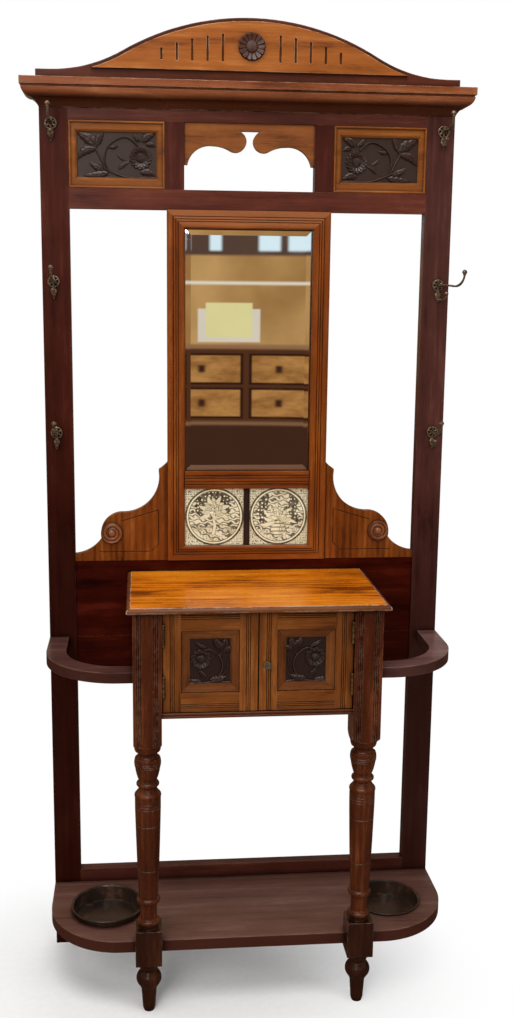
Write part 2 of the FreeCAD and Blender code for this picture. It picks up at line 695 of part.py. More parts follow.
def bevelled_section(low, high):
    """Plate glass: a flat face with a ground bevel inside both edges, a thin rim in the rebate."""
    rim = glass_margin
    sunk = glass_face + s.mirror_bevel_depth
    return [(low, sunk), (low + rim, sunk), (low + rim + s.mirror_bevel, glass_face),
            (high - rim - s.mirror_bevel, glass_face), (high - rim, sunk), (high, sunk),
            (high, glass_back), (low, glass_back)]


node("mirror_glass", common(
    "mirror_glass",
    upright("mirror_glass_across", bevelled_section(-glass_x, glass_x), glass_z),
    crosswise("mirror_glass_up", swapped(bevelled_section(*glass_z)), (-glass_x, glass_x))))
mirror_backing = block("mirror_backing", (-glass_x, glass_x),
                       (glass_back, glass_back + s.mirror_board_thickness), glass_z)

tile_face = lip_back + s.fit_gap
tile_back = tile_face + s.tile_thickness
tile_middle = (tile_low + tile_high) / 2
tile_z = (tile_middle - s.tile_size / 2, tile_middle + s.tile_size / 2)
for side, word in SIDES:
    node(word + "_tile", block(word + "_tile", span(side, s.tile_gap / 2, s.tile_gap / 2 + s.tile_size),
                               (tile_face, tile_back), tile_z))
node("tile_divider", block("tile_divider", (-s.tile_strip / 2, s.tile_strip / 2),
                           (tile_face - s.tile_strip_thickness, tile_face), (tile_low, tile_high)))
tile_board_x = s.tile_gap / 2 + s.tile_size
tile_backing = block("tile_backing", (-tile_board_x, tile_board_x),
                     (tile_back, tile_back + s.mirror_board_thickness), tile_z)
node("frame_backboards", mirror_backing, tile_backing)

# ---------------------------------------------------------------------------------------------------
# Brackets: boards fretted to a swept shoulder and a scroll, between the mirror frame and a stile.
# ---------------------------------------------------------------------------------------------------
bracket_gap = stile_inner - mirror_half
bracket_y = (front + s.bracket_setback, front + s.bracket_setback + s.bracket_thickness)
bracket_foot = s.back_board_top
BRACKET = [
    # share of the gap from the mirror frame, share of the height
    (0.715, 0.225), (0.674, 0.406, VIA), (0.494, 0.494), (0.197, 0.602, VIA), (0.094, 0.9),
    (0.094, 0.925), (0.056, 0.95, VIA), (0, 1),
]
SCROLL = (0.603, 0.283)


def incised_lines(word, side):
    """Shallow lines cut in a bracket's face: an upright, a corner and a foot line, and one along the sweep."""
    inset = s.incised_inset
    wide = s.incised_width
    depth = (bracket_y[0] - 1, bracket_y[0] + s.incised_depth)
    near = mirror_half + inset
    corner = s.incised_inset * 1.9
    low = bracket_foot + inset
    far = mirror_half + bracket_gap * 0.74
    high = bracket_foot + s.bracket_height * 0.52
    sweep_end = (mirror_half + bracket_gap * 0.5, bracket_foot + s.bracket_height * 0.41)
    sweep_via = (mirror_half + bracket_gap * 0.26, bracket_foot + s.bracket_height * 0.475)
    strokes = [
        [(near, high), (near, bracket_foot + corner), (near + wide, bracket_foot + corner), (near + wide, high)],
        [(near, bracket_foot + corner), (mirror_half + corner, low), (mirror_half + corner, low + wide),
         (near + wide, bracket_foot + corner)],
        [(mirror_half + corner, low), (far, low), (far, low + wide), (mirror_half + corner, low + wide)],
        [(near, high), sweep_via + (VIA,), sweep_end, (sweep_end[0], sweep_end[1] - wide),
         (sweep_via[0], sweep_via[1] - wide, VIA), (near + wide, high - wide)],
    ]
    return [fretted("%s_incised_%d" % (word, number), [(point[0] * side,) + tuple(point[1:]) for point in stroke],
                    depth) for number, stroke in enumerate(strokes)]


bosses = []
for side, word in SIDES:
    edge = [(stile_inner * side, bracket_foot), (stile_inner * side, bracket_foot + s.bracket_toe),
            ((mirror_half + bracket_gap * 0.86) * side, bracket_foot + s.bracket_toe * 1.5, VIA)]
    for point in BRACKET:
        edge.append(((mirror_half + bracket_gap * point[0]) * side,
                     bracket_foot + s.bracket_height * point[1]) + tuple(point[2:]))
    edge.append((mirror_half * side, bracket_foot))
    lines = incised_lines(word, side)
    node(word + "_bracket", cut(word + "_bracket", fretted(word + "_bracket_blank", edge, bracket_y), *lines))
    scroll = ((mirror_half + bracket_gap * SCROLL[0]) * side, bracket_y[0],
              bracket_foot + s.bracket_height * SCROLL[1])
    bosses.append(joined(word + "_scroll_boss",
                         rod(word + "_scroll", s.scroll_radius, s.scroll_relief, scroll, FORWARD),
                         rod(word + "_scroll_eye", s.scroll_eye, s.scroll_eye_relief, scroll, FORWARD)))
node("scroll_bosses", *bosses)

# ---------------------------------------------------------------------------------------------------
# Coat hooks: castings with a pierced ring plate, a long upper arm and a short lower one, two screws each.
# ---------------------------------------------------------------------------------------------------
HOOK_TURN = {"right_middle": 33}


def quarter_curl(name, bend, radius, start_y, low_z):
    """A quarter ring that takes an arm from forwards to upwards, in the plane X = 0."""
    curl = doc.addObject("Part::Torus", name)
    bind(curl, "Radius1", bend)
    bind(curl, "Radius2", radius)
    curl.Angle3 = 90
    curl.Placement.Rotation = FreeCAD.Rotation(FreeCAD.Vector(0, 0, -1), FreeCAD.Vector(0, -1, 0),
                                               FreeCAD.Vector(-1, 0, 0), "XYZ")
    place(curl, 0, start_y, low_z + bend)
    return curl


def hook(name, x, z, turn):
    """One hook, made about the middle of its plate and then screwed to a stile."""
    zero = as_size(0)
    tail_low = -(s.hook_plate_radius + s.hook_tail - s.hook_tail_width / 2)
    plate = rod(name + "_plate", s.hook_plate_radius, s.hook_plate, (zero, zero, zero), FORWARD)
    tail = block(name + "_tail", (-s.hook_tail_width / 2, s.hook_tail_width / 2), (-s.hook_plate, zero),
                 (tail_low, zero))
    toe = rod(name + "_tail_end", s.hook_tail_width / 2, s.hook_plate, (zero, zero, tail_low), FORWARD)
    arm = rod(name + "_arm", s.hook_arm, s.hook_reach - s.hook_root, (zero, -s.hook_root, zero), FORWARD)
    curl = quarter_curl(name + "_curl", s.hook_curl, s.hook_arm, -s.hook_reach, zero)
    tip = ball(name + "_tip", s.hook_ball, (zero, -(s.hook_reach + s.hook_curl), s.hook_curl))
    lower = rod(name + "_lower_arm", s.hook_lower_arm, s.hook_lower_reach - s.hook_root,
                (zero, -s.hook_root, tail_low), FORWARD)
    lower_curl = quarter_curl(name + "_lower_curl", s.hook_lower_curl, s.hook_lower_arm,
                              -s.hook_lower_reach, tail_low)
    lower_tip = ball(name + "_lower_tip", s.hook_lower_ball,
                     (zero, -(s.hook_lower_reach + s.hook_lower_curl), tail_low + s.hook_lower_curl))
    arms = joined(name + "_arms", arm, curl, tip, lower, lower_curl, lower_tip)
    arms.Placement.Rotation = FreeCAD.Rotation(FreeCAD.Vector(0, 0, 1), turn)
    drilled = []
    for word, level in (("upper", s.hook_screw_rise), ("lower", -s.hook_screw_fall)):
        drilled.append(rod("%s_%s_hole" % (name, word), s.hook_screw_radius + s.screw_clearance,
                           s.hook_plate + 2,
                           (zero, as_size(1), level), FORWARD))
    whole = joined(name + "_casting", plate, tail, toe, arms)
    piece = cut(name, whole, *drilled)
    place(piece, x, front, z)
    return piece


screws = []
for side, word in SIDES:
    castings = []
    for number, rank in enumerate(HOOK_RANKS):
        name = "%s_%s" % (word, rank)
        castings.append(hook(name + "_hook", (half - s.hook_inset) * side, s.hook_top - s.hook_pitch * number,
                             HOOK_TURN.get(name, 0)))
    node(word + "_hooks", *castings)
    shanks = screw_rods(word + "_screw", side, s.hook_screw_radius, s.hook_screw_length, screw_end)
    heads = screw_rods(word + "_screw_head", side, s.hook_screw_head, s.hook_screw_head_depth,
                       front - s.hook_plate)
    screws += [joined(shank.Name + "_whole", shank, head) for shank, head in zip(shanks, heads)]
node("hook_screws", *screws)

# ---------------------------------------------------------------------------------------------------
# Front legs: square posts beside the doors, a turned vase, a square block at the shelf, a turned foot.
# ---------------------------------------------------------------------------------------------------
cabinet_half = s.cabinet_width / 2
cabinet_front = front - s.cabinet_depth
post_front = cabinet_front + s.cabinet_front_overhang
post_back = post_front + s.post_size
post_inner = cabinet_half - s.post_size
leg_x = cabinet_half - s.post_size / 2
leg_y = post_front + s.post_size / 2
cabinet_under = s.cabinet_top_level - s.cabinet_top_thickness


def turning_route(stations, level_of):
    """Radius and height along a turning; a bulge turns the way to the next station into an arc."""
    route = []
    for index, (station, _, _, bulge) in enumerate(stations):
        here = (cell(station + "_radius"), level_of(station))
        route.append(here)
        if bulge and index + 1 < len(stations):
            after = stations[index + 1][0]
            there = (cell(after + "_radius"), level_of(after))
            route.append(((here[0] + there[0]) / 2 + bulge, (here[1] + there[1]) / 2, VIA))
    return route


upper = turning_route(UPPER_TURNING, lambda station: s.post_foot - cell(station + "_level"))
lower = turning_route(LOWER_TURNING, lambda station: cell(station + "_level"))
foot = turning_route(FOOT_TURNING, lambda station: cell(station + "_level"))
axis_top = [(as_size(0), s.post_foot)]
shaft = axis_top + upper + [((upper[-1][0] + lower[0][0]) / 2 + 0.6, (upper[-1][1] + lower[0][1]) / 2, VIA)]
shaft += lower + [(as_size(0), lower[-1][1])]
foot_shaft = [(as_size(0), foot[0][1])] + foot + [(as_size(0), foot[-1][1])]


def post_plan(side):
    """Plan of the square post, its front face reeded in two groups of three."""
    low, high = span(side, post_inner, cabinet_half)
    low_marks = [low + s.post_reed_inset + s.post_reed_pitch * count for count in range(3)]
    high_marks = [high - s.post_reed_inset - s.post_reed_pitch * (2 - count) for count in range(3)]
    face = reeded_edge(low, high, post_front, 1, low_marks + high_marks, True)
    return face + [(high, post_back), (low, post_back)]


# The lower end of the post is turned with the vase, which rounds its four corners in to the collar.
post_shoulder = s.post_foot + s.post_toe
corner_reach = s.post_size * math.sqrt(0.5) + 0.5
collar = s.collar_top_radius + 0.5
toe_outline = [(as_size(0), s.post_foot), (collar, s.post_foot),
               (collar + (corner_reach - collar) * 0.62, s.post_foot + s.post_toe * 0.4, VIA),
               (corner_reach, post_shoulder), (as_size(0), post_shoulder)]


def incised_rings(word, side):
    """Rings of triangular section that cut the fine lines round a vase."""
    rings = []
    for name, _, _ in INCISED_RINGS:
        radius = cell(name + "_radius")
        level = s.post_foot - cell(name + "_level")
        section = [(radius - s.ring_line_depth, level),
                   (radius + s.ring_line_depth, level - s.ring_line_width),
                   (radius + s.ring_line_depth, level + s.ring_line_width)]
        rings.append(turned("%s_%s" % (word, name), section, leg_x * side, leg_y))
    return rings


for side, word in SIDES:
    post = upright(word + "_post", post_plan(side), (post_shoulder, cabinet_under))
    post_toe = common(word + "_post_toe",
                      upright(word + "_post_end", post_plan(side), (s.post_foot, post_shoulder)),
                      turned(word + "_post_rounding", toe_outline, leg_x * side, leg_y))
    vase = cut(word + "_vase", turned(word + "_vase_turning", shaft, leg_x * side, leg_y),
               *incised_rings(word, side))
    block_half = s.block_size / 2
    square = block(word + "_block", (leg_x * side - block_half, leg_x * side + block_half),
                   (leg_y - block_half, leg_y + block_half), (s.block_low, s.block_high))
    toe = turned(word + "_foot", foot_shaft, leg_x * side, leg_y)
    node(word + "_leg", joined(word + "_leg", post, post_toe, vase, square, toe))

# ---------------------------------------------------------------------------------------------------
# Shelf with two round cut-outs, and the umbrella rings above it.
# ---------------------------------------------------------------------------------------------------
DIAGONAL = math.sqrt(0.5)
bay = half - cabinet_half
corner_radius = bay - s.ring_straight
pan_hole = (bay - s.pan_margin + s.pan_tuck) / 2


def corner_arc(side, radius, reach):
    """Rounded front corner of the shelf or a ring: from its side round to its front edge."""
    centre_x = half - corner_radius
    centre_y = front - reach + corner_radius
    return [((centre_x + radius) * side, centre_y),
            ((centre_x + radius * DIAGONAL) * side, centre_y - radius * DIAGONAL, VIA),
            (centre_x * side, centre_y - radius)]


block_inner = leg_x - s.block_size / 2
block_outer = leg_x + s.block_size / 2
block_back = leg_y + s.block_size / 2
shelf_front = front - s.shelf_reach


def shelf_half(side):
    """One half of the shelf's plan from the back to the middle of its front, notched round the leg."""
    return ([(half * side, front)] + corner_arc(side, corner_radius, s.shelf_reach)
            + [(block_outer * side, shelf_front), (block_outer * side, block_back),
               (block_inner * side, block_back), (block_inner * side, shelf_front)])


pan_x = half - s.pan_margin - pan_hole
pan_y = front - s.pan_forward
shelf_z = (s.shelf_top - s.shelf_thickness, s.shelf_top)
node("shelf", upright("shelf", shelf_half(1) + list(reversed(shelf_half(-1))), shelf_z,
                      [((pan_x * side, pan_y), pan_hole) for side, word in SIDES]))

for side, word in SIDES:
    plan = [(half * side, front)] + corner_arc(side, corner_radius, s.ring_reach)
    plan.append((cabinet_half * side, front - s.ring_reach))
    plan.append((cabinet_half * side, front - s.ring_reach + s.ring_band))
    plan += reversed(corner_arc(side, corner_radius - s.ring_band, s.ring_reach))
    plan.append(((half - s.ring_band) * side, front))
    node(word + "_umbrella_ring", upright(word + "_umbrella_ring", plan, (s.ring_top - s.ring_thickness, s.ring_top)))

# ---------------------------------------------------------------------------------------------------
# Drip pans: spun metal with a rolled rim.  The right one drops to its rim, the left one is a size too
# big for its hole and sits proud, held by its taper.
# ---------------------------------------------------------------------------------------------------
def drip_pan(name, side, lift):
    """A pan whose wall clears the hole's upper edge and whose rim stands a lift above the shelf."""
    at_edge = pan_hole - s.pan_clearance
    slope = s.pan_taper / s.pan_drop
    top_radius = at_edge + slope * lift
    low_radius = top_radius - s.pan_taper
    top = s.shelf_top + s.pan_seat_gap + lift
    low = top - s.pan_drop
    section = [(as_size(0), low), (low_radius, low), (top_radius, top), (top_radius + s.pan_rim, top),
               (top_radius + s.pan_rim * 2, top + s.pan_rim, VIA), (top_radius + s.pan_rim, top + s.pan_rim * 2),
               (top_radius - s.pan_wall, top + s.pan_rim), (low_radius - s.pan_wall, low + s.pan_wall),
               (as_size(0), low + s.pan_wall)]
    return turned(name, section, pan_x * side, pan_y)


node("left_drip_pan", drip_pan("left_drip_pan", -1, s.proud_pan_lift))
node("right_drip_pan", drip_pan("right_drip_pan", 1, as_size(0)))

# ---------------------------------------------------------------------------------------------------
# Cupboard carcase.
# ---------------------------------------------------------------------------------------------------
top_half = cabinet_half + s.cabinet_side_overhang


def thumb_edge(x, way):
    """Moulded edge of the top from below upwards: a small under-chamfer, a quarter round, and a quirk
    that sets the round down below the flat of the top."""
    low = cabinet_under
    high = s.cabinet_top_level
    lip = high - s.cabinet_top_quirk
    turn = s.cabinet_top_round
    flat = x - s.cabinet_top_run * way
    return [(x - 3 * way, low), (x, low + 3), (x, lip - turn),
            (x - turn * (1 - DIAGONAL) * way, lip - turn * (1 - DIAGONAL), VIA), (x - turn * way, lip),
            (flat, lip), (flat, high)]


top_front_view = thumb_edge(top_half, 1) + list(reversed(thumb_edge(-top_half, -1)))
top_section = thumb_edge(cabinet_front, -1) + [(front, s.cabinet_top_level), (front, cabinet_under)]
node("cabinet_top", common(
    "cabinet_top",
    crosswise("cabinet_top_run", top_section, (-top_half, top_half)),
    fretted("cabinet_top_ends", top_front_view, (cabinet_front, front))))

floor_low = s.cabinet_floor_level - s.cabinet_floor_thickness
side_inner = cabinet_half - s.cabinet_side_thickness
node("cabinet_sides", *[
    block(word + "_cabinet_side", span(side, side_inner, cabinet_half), (post_back, board_front),
          (floor_low, cabinet_under)) for side, word in SIDES])
door_front = post_front + s.door_setback
door_back = door_front + s.door_thickness
rail_back = door_back - 2


def floor_half(side):
    """Half the plan of the cupboard floor, cut back round the post."""
    return [(side_inner * side, board_front), (side_inner * side, post_back), (post_inner * side, post_back),
            (post_inner * side, rail_back)]


node("cabinet_floor", upright("cabinet_floor", floor_half(1) + list(reversed(floor_half(-1))),
                              (floor_low, s.cabinet_floor_level)))
bead_pitch = s.cabinet_floor_thickness / 2
rail_front = door_front - 2
bead_section = [(rail_back, floor_low), (rail_front, floor_low),
                (rail_front - 2, floor_low + bead_pitch / 2, VIA), (rail_front, floor_low + bead_pitch),
                (rail_front - 2, floor_low + bead_pitch * 1.5, VIA), (rail_front, s.cabinet_floor_level),
                (rail_back, s.cabinet_floor_level)]
node("cabinet_bead_rail", crosswise("cabinet_bead_rail", bead_section, (-post_inner, post_inner)))
stop_front = door_back + 0.5
node("door_stop", block("door_stop", (-post_inner, post_inner), (stop_front, stop_front + s.door_stop),
                        (cabinet_under - s.door_stop_height, cabinet_under)))

# ---------------------------------------------------------------------------------------------------
# Doors: reeded stiles and rails, a bevelled moulding inside them, and a carved panel.
# ---------------------------------------------------------------------------------------------------
door_low = s.cabinet_floor_level + s.door_gap
door_high = cabinet_under - s.door_gap
door_outer = post_inner - s.door_hinge_gap
door_inner = s.door_meeting_gap / 2
door_y = (door_front, door_back)
lock_z = door_low + s.lock_level
lock_x = door_inner + s.lock_inset


def door_stile(name, low, high, marks):
    """An upright of a door, reeded at marks."""
    plan = reeded_edge(low, high, door_front, 1, marks, True) + [(high, door_back), (low, door_back)]
    return upright(name, plan, (door_low, door_high))


def door_rail(name, x, z, marks):
    """A cross rail of a door, reeded at marks."""
    section = reeded_edge(z[0], z[1], door_front, 1, marks, True) + [(z[1], door_back), (z[0], door_back)]
    return crosswise(name, swapped(section), x)


def door_moulding_section(width):
    """Sunk bevel from the door frame down to the panel, with a rebate behind."""
    moulding_back = door_front + s.door_moulding_depth
    rebate_front = moulding_back - s.door_panel_thickness
    return [(as_size(0), door_front + 3), (as_size(1.5), door_front + 2), (as_size(3), door_front + 3),
            (width, door_front + 8), (width, rebate_front), (width - s.panel_rebate, rebate_front),
            (width - s.panel_rebate, moulding_back), (as_size(0), moulding_back)]


for side, word in SIDES:
    outer_marks = [door_outer - s.door_reed_inset - s.door_reed_pitch * count for count in (2, 1, 0)]
    inner_marks = [door_inner + s.door_reed_inset + s.door_reed_pitch * count for count in range(3)]
    if side < 0:
        outer_marks = [-mark for mark in reversed(outer_marks)]
        inner_marks = [-mark for mark in reversed(inner_marks)]
    hinge_stile = door_stile(word + "_door_hinge_stile",
                             *span(side, door_outer - s.door_stile, door_outer), outer_marks)
    meeting = door_stile(word + "_door_meeting_stile",
                         *span(side, door_inner, door_inner + s.door_stile), inner_marks)
    if side > 0:
        keyway = rod("keyway", s.key_shank + s.key_hole_clearance, s.door_thickness + 2,
                     (lock_x, door_back + 1, lock_z), FORWARD)
        meeting = cut("bored_meeting_stile", meeting, keyway)
    light_x = span(side, door_inner + s.door_stile, door_outer - s.door_stile)
    light_z = (door_low + s.door_bottom_rail, door_high - s.door_top_rail)
    low_marks = [door_low + s.door_rail_reeds + s.door_reed_pitch * (count - 1) for count in range(3)]
    high_marks = [door_high - s.door_rail_reeds + s.door_reed_pitch * (count - 1) for count in range(3)]
    low_rail = door_rail(word + "_door_low_rail", light_x, (door_low, light_z[0]), low_marks)
    high_rail = door_rail(word + "_door_high_rail", light_x, (light_z[1], door_high), high_marks)
    node(word + "_door_frame", hinge_stile, meeting, low_rail, high_rail)
    node(word + "_door_moulding", *mitred_frame(word + "_door", light_x, light_z, s.door_moulding,
                                                s.door_moulding, door_front + s.door_moulding_depth,
                                                door_moulding_section))
    hidden = s.panel_rebate - s.fit_gap
    panel_back = door_front + s.door_moulding_depth
    node(word + "_door_carving", block(
        word + "_door_carving",
        (light_x[0] + s.door_moulding - hidden, light_x[1] - s.door_moulding + hidden),
        (panel_back - s.door_panel_thickness, panel_back),
        (light_z[0] + s.door_moulding - hidden, light_z[1] - s.door_moulding + hidden)))

# ---------------------------------------------------------------------------------------------------
# Butt hinges: the outer two knuckles belong to the post's leaf, the middle one to the door's leaf.
# ---------------------------------------------------------------------------------------------------
hinge_x = post_inner - s.hinge_knuckle - s.hinge_clearance
hinge_y = door_front - s.hinge_knuckle - s.hinge_clearance
knuckle_third = s.hinge_length / 3
bore = s.hinge_pin + s.hinge_pin_clearance


def knuckle(name, x, z):
    """A bored barrel of a hinge."""
    barrel = rod(name + "_barrel", s.hinge_knuckle, z[1] - z[0], (x, hinge_y, z[0]))
    hollow = rod(name + "_bore", bore, z[1] - z[0] + 2, (x, hinge_y, z[0] - 1))
    return barrel, hollow


def leaf(name, side, x, y_start, z, tabs):
    """A hinge leaf let in beside the door edge, with a tab and a bored barrel at each of its knuckles."""
    plate = block(name + "_plate", x, (y_start, y_start + s.hinge_leaf_width), z)
    parts, bores = [plate], []
    for number, tab_z in enumerate(tabs):
        barrel, hollow = knuckle("%s_%d" % (name, number + 1), hinge_x * side, tab_z)
        tab = block("%s_%d_tab" % (name, number + 1), x, (hinge_y, y_start + 1), tab_z)
        parts += [barrel, tab]
        bores.append(hollow)
    return cut(name, joined(name + "_whole", *parts), *bores)


post_leaves, pins = [], []
for side, word in SIDES:
    door_leaves = []
    for rank, level in (("lower", s.hinge_low), ("upper", s.hinge_high)):
        middle = door_low + level
        low = middle - s.hinge_length / 2
        high = middle + s.hinge_length / 2
        gap = s.hinge_clearance / 2
        middle_z = (low + knuckle_third + gap, high - knuckle_third - gap)
        end_z = [(low, low + knuckle_third - gap), (high - knuckle_third + gap, high)]
        name = "%s_%s_hinge" % (word, rank)
        post_leaves.append(leaf(name + "_post_leaf", side, span(side, post_inner - s.hinge_leaf, post_inner),
                                hinge_y + s.hinge_knuckle, (low, high), end_z))
        door_leaves.append(leaf(name + "_door_leaf", side, span(side, door_outer, door_outer + s.hinge_leaf),
                                hinge_y + s.hinge_knuckle, (low, high), [middle_z]))
        pins.append(joined(
            name + "_pin",
            rod(name + "_pin_shank", s.hinge_pin, s.hinge_length + 2, (hinge_x * side, hinge_y, low - 1)),
            ball(name + "_low_finial", s.hinge_finial, (hinge_x * side, hinge_y, low - s.hinge_finial)),
            ball(name + "_high_finial", s.hinge_finial, (hinge_x * side, hinge_y, high + s.hinge_finial))))
    node(word + "_door_hinge_leaves", *door_leaves)
node("post_hinge_leaves", *post_leaves)
node("hinge_pins", *pins)

# ---------------------------------------------------------------------------------------------------
# Lock: a case screwed behind the right door's meeting stile, a sliding bolt, a key and its plate.
# ---------------------------------------------------------------------------------------------------
case_x = (door_inner + s.lock_edge, door_inner + s.lock_edge + s.lock_case_width)
case_z = (lock_z - s.lock_case_height * 0.35, lock_z + s.lock_case_height * 0.65)
case_y = (door_back, door_back + s.lock_case_depth)
bolt_low = lock_z + s.key_bit + 3
bolt_x = (case_x[0], case_x[0] + s.bolt_length)
bolt_y_low = door_back + (s.lock_case_depth - s.bolt_thickness) / 2
bolt_y = (bolt_y_low, bolt_y_low + s.bolt_thickness)
clear = s.lock_clearance
bolt_way = block("bolt_way", (case_x[0] - 1, bolt_x[1] + clear), (bolt_y[0] - clear, bolt_y[1] + clear),
                 (bolt_low - clear, bolt_low + s.bolt_height + clear))
key_room = rod("key_room", s.key_bit + 1, s.lock_case_depth - s.lock_wall * 2,
               (lock_x, case_y[1] - s.lock_wall, lock_z), FORWARD)
case_bore = rod("case_bore", s.key_shank + s.key_hole_clearance, s.lock_case_depth / 2,
                (lock_x, door_back + s.lock_case_depth / 2 - 1, lock_z), FORWARD)
lock_blank = block("lock_blank", case_x, case_y, case_z)
node("lock_case", cut("lock_case", lock_blank, bolt_way, key_room, case_bore))
node("lock_bolt", block("lock_bolt", bolt_x, bolt_y, (bolt_low, bolt_low + s.bolt_height)))
key_back = case_y[1] - s.lock_wall - clear
shank_length = key_back - (door_front - s.key_stand)
bit_y = (door_back + s.lock_wall + clear, key_back)
bow_centre = (lock_x, door_front - s.key_stand - s.key_bow + 1, lock_z - s.key_bow_thickness / 2)
bow = rod("key_bow", s.key_bow, s.key_bow_thickness, bow_centre)
bow_hole = rod("key_bow_hole", s.key_bow_hole, s.key_bow_thickness + 2,
               (bow_centre[0], bow_centre[1], bow_centre[2] - 1))
shank = rod("key_shank_rod", s.key_shank, shank_length, (lock_x, key_back, lock_z), FORWARD)
bit = block("key_bit_plate", (lock_x, lock_x + s.key_bit), bit_y,
            (lock_z - s.key_bit_width / 2, lock_z + s.key_bit_width / 2))
node("door_key", joined("door_key", cut("pierced_bow", bow, bow_hole), shank, bit))
plate_hole = rod("escutcheon_hole", s.key_shank + s.key_hole_clearance, s.escutcheon_thickness + 2,
                 (lock_x, door_front + 1, lock_z), FORWARD)
node("key_escutcheon", cut("key_escutcheon",
                           rod("escutcheon_disc", s.escutcheon_radius, s.escutcheon_thickness,
                               (lock_x, door_front, lock_z), FORWARD), plate_hole))

# ---------------------------------------------------------------------------------------------------
# Build, check and write every sub-part.
# ---------------------------------------------------------------------------------------------------
doc.recompute()
failed = [item.Name for item in doc.Objects if "Invalid" in item.State or "Error" in item.State]
if failed:
    raise RuntimeError("these objects failed: " + ", ".join(failed))
for piece in nodes:
    if piece.Shape.isNull() or not piece.Shape.isValid():
        raise RuntimeError(piece.Label + " has no valid shape")
os.makedirs("parts", exist_ok=True)
for piece in nodes:
    piece.Shape.exportStep(os.path.join("parts", piece.Label + ".step"))
print(len(nodes), "sub-parts written")
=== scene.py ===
"""Looks of a mahogany hall stand with a bevelled mirror, tiles, coat hooks, a glove cupboard and two
umbrella stands, put together round its measured frame.  Metres, +Z up, +Y towards the wall."""
import math

import bpy
import numpy as np
from mathutils import Matrix, Vector


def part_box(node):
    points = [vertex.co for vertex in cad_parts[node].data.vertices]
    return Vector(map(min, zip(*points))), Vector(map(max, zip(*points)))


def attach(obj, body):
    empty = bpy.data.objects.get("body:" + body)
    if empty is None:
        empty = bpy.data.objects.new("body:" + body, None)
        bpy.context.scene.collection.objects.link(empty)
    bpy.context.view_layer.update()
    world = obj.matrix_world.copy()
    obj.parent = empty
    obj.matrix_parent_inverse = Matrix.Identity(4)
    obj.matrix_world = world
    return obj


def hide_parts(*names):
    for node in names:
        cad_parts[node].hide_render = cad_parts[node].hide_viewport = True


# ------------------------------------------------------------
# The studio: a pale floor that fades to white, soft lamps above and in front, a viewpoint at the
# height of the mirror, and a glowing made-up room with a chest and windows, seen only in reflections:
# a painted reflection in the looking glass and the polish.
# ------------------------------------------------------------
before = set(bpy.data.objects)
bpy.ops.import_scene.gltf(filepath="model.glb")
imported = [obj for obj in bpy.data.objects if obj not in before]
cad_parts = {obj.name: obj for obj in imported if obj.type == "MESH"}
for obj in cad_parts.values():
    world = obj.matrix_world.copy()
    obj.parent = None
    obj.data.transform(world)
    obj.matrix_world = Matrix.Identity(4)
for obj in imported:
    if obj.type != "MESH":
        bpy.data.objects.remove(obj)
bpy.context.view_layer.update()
scene = bpy.context.scene


def add(tree, kind, inputs=None, **options):
    """Put one node in a shader tree; an input is a number, a colour or another node's output."""
    node = tree.nodes.new("ShaderNode" + kind)
    for option, value in options.items():
        setattr(node, option, value)
    for socket, value in (inputs or {}).items():
        if isinstance(value, bpy.types.NodeSocket):
            tree.links.new(value, node.inputs[socket])
        else:
            node.inputs[socket].default_value = value
    return node


def sums(tree, operation, first, second=0.0, third=0.0):
    """One sum of numbers or outputs: ADD, MULTIPLY, MULTIPLY_ADD, MAXIMUM and so on."""
    return add(tree, "Math", {0: first, 1: second, 2: third}, operation=operation).outputs[0]


def eased(tree, value, low, high, start=0.0, stop=1.0):
    """A value taken smoothly from start to stop as it goes from low to high, and held beyond them."""
    return add(tree, "MapRange", {"Value": value, "From Min": low, "From Max": high, "To Min": start,
                                  "To Max": stop}, interpolation_type="SMOOTHSTEP").outputs[0]


def blended(tree, share, first, second, way="MIX"):
    """Two colours, the Mix node's inputs 6 and 7, mixed by a share or multiplied by it."""
    node = add(tree, "Mix", {0: share, 6: first, 7: second}, data_type="RGBA", blend_type=way)
    return node.outputs[2]


def cloudy(tree, place, scale, detail, roughness=0.5, stretch=(1, 1, 1)):
    """Noise from 0 to 1 over a place, drawn out along an axis where its stretch is below 1."""
    drawn = add(tree, "VectorMath", {0: place, 1: stretch}, operation="MULTIPLY").outputs[0]
    return add(tree, "TexNoise", {"Vector": drawn, "Scale": scale, "Detail": detail,
                                  "Roughness": roughness}).outputs["Fac"]


def finish(name):
    """An empty material: its tree, its shader and the Object coordinates that its pattern reads."""
    material = bpy.data.materials.new(name)
    material.use_nodes = True
    tree = material.node_tree
    return material, tree, tree.nodes["Principled BSDF"], add(tree, "TexCoord").outputs["Object"]


def wired(tree, target, **sources):
    """Link outputs to named inputs; the words of an input's name are joined by an underscore."""
    for label, source in sources.items():
        tree.links.new(source, target[label.replace("_", " ").title()])


def built(name, points, *faces, crease=40):
    """A mesh piece from an array of points and arrays of faces, each array's faces having equal corners;
    a face starts where the corners before it end.  Edges sharper than the crease stay crisp."""
    mesh = bpy.data.meshes.new(name)
    corners = np.concatenate([np.asarray(some, np.int32).ravel() for some in faces])
    sizes = np.concatenate([np.full(len(some), np.shape(some)[1], np.int32) for some in faces])
    mesh.vertices.add(len(points))
    mesh.vertices.foreach_set("co", np.asarray(points, np.float32).ravel())
    mesh.loops.add(len(corners))
    mesh.loops.foreach_set("vertex_index", corners)
    mesh.polygons.add(len(sizes))
    mesh.polygons.foreach_set("loop_start", (np.cumsum(sizes) - sizes).astype(np.int32))
    mesh.update(calc_edges=True)
    mesh.shade_smooth()
    mesh.set_sharp_from_angle(angle=math.radians(crease))
    piece = bpy.data.objects.new(name, mesh)
    scene.collection.objects.link(piece)
    return piece


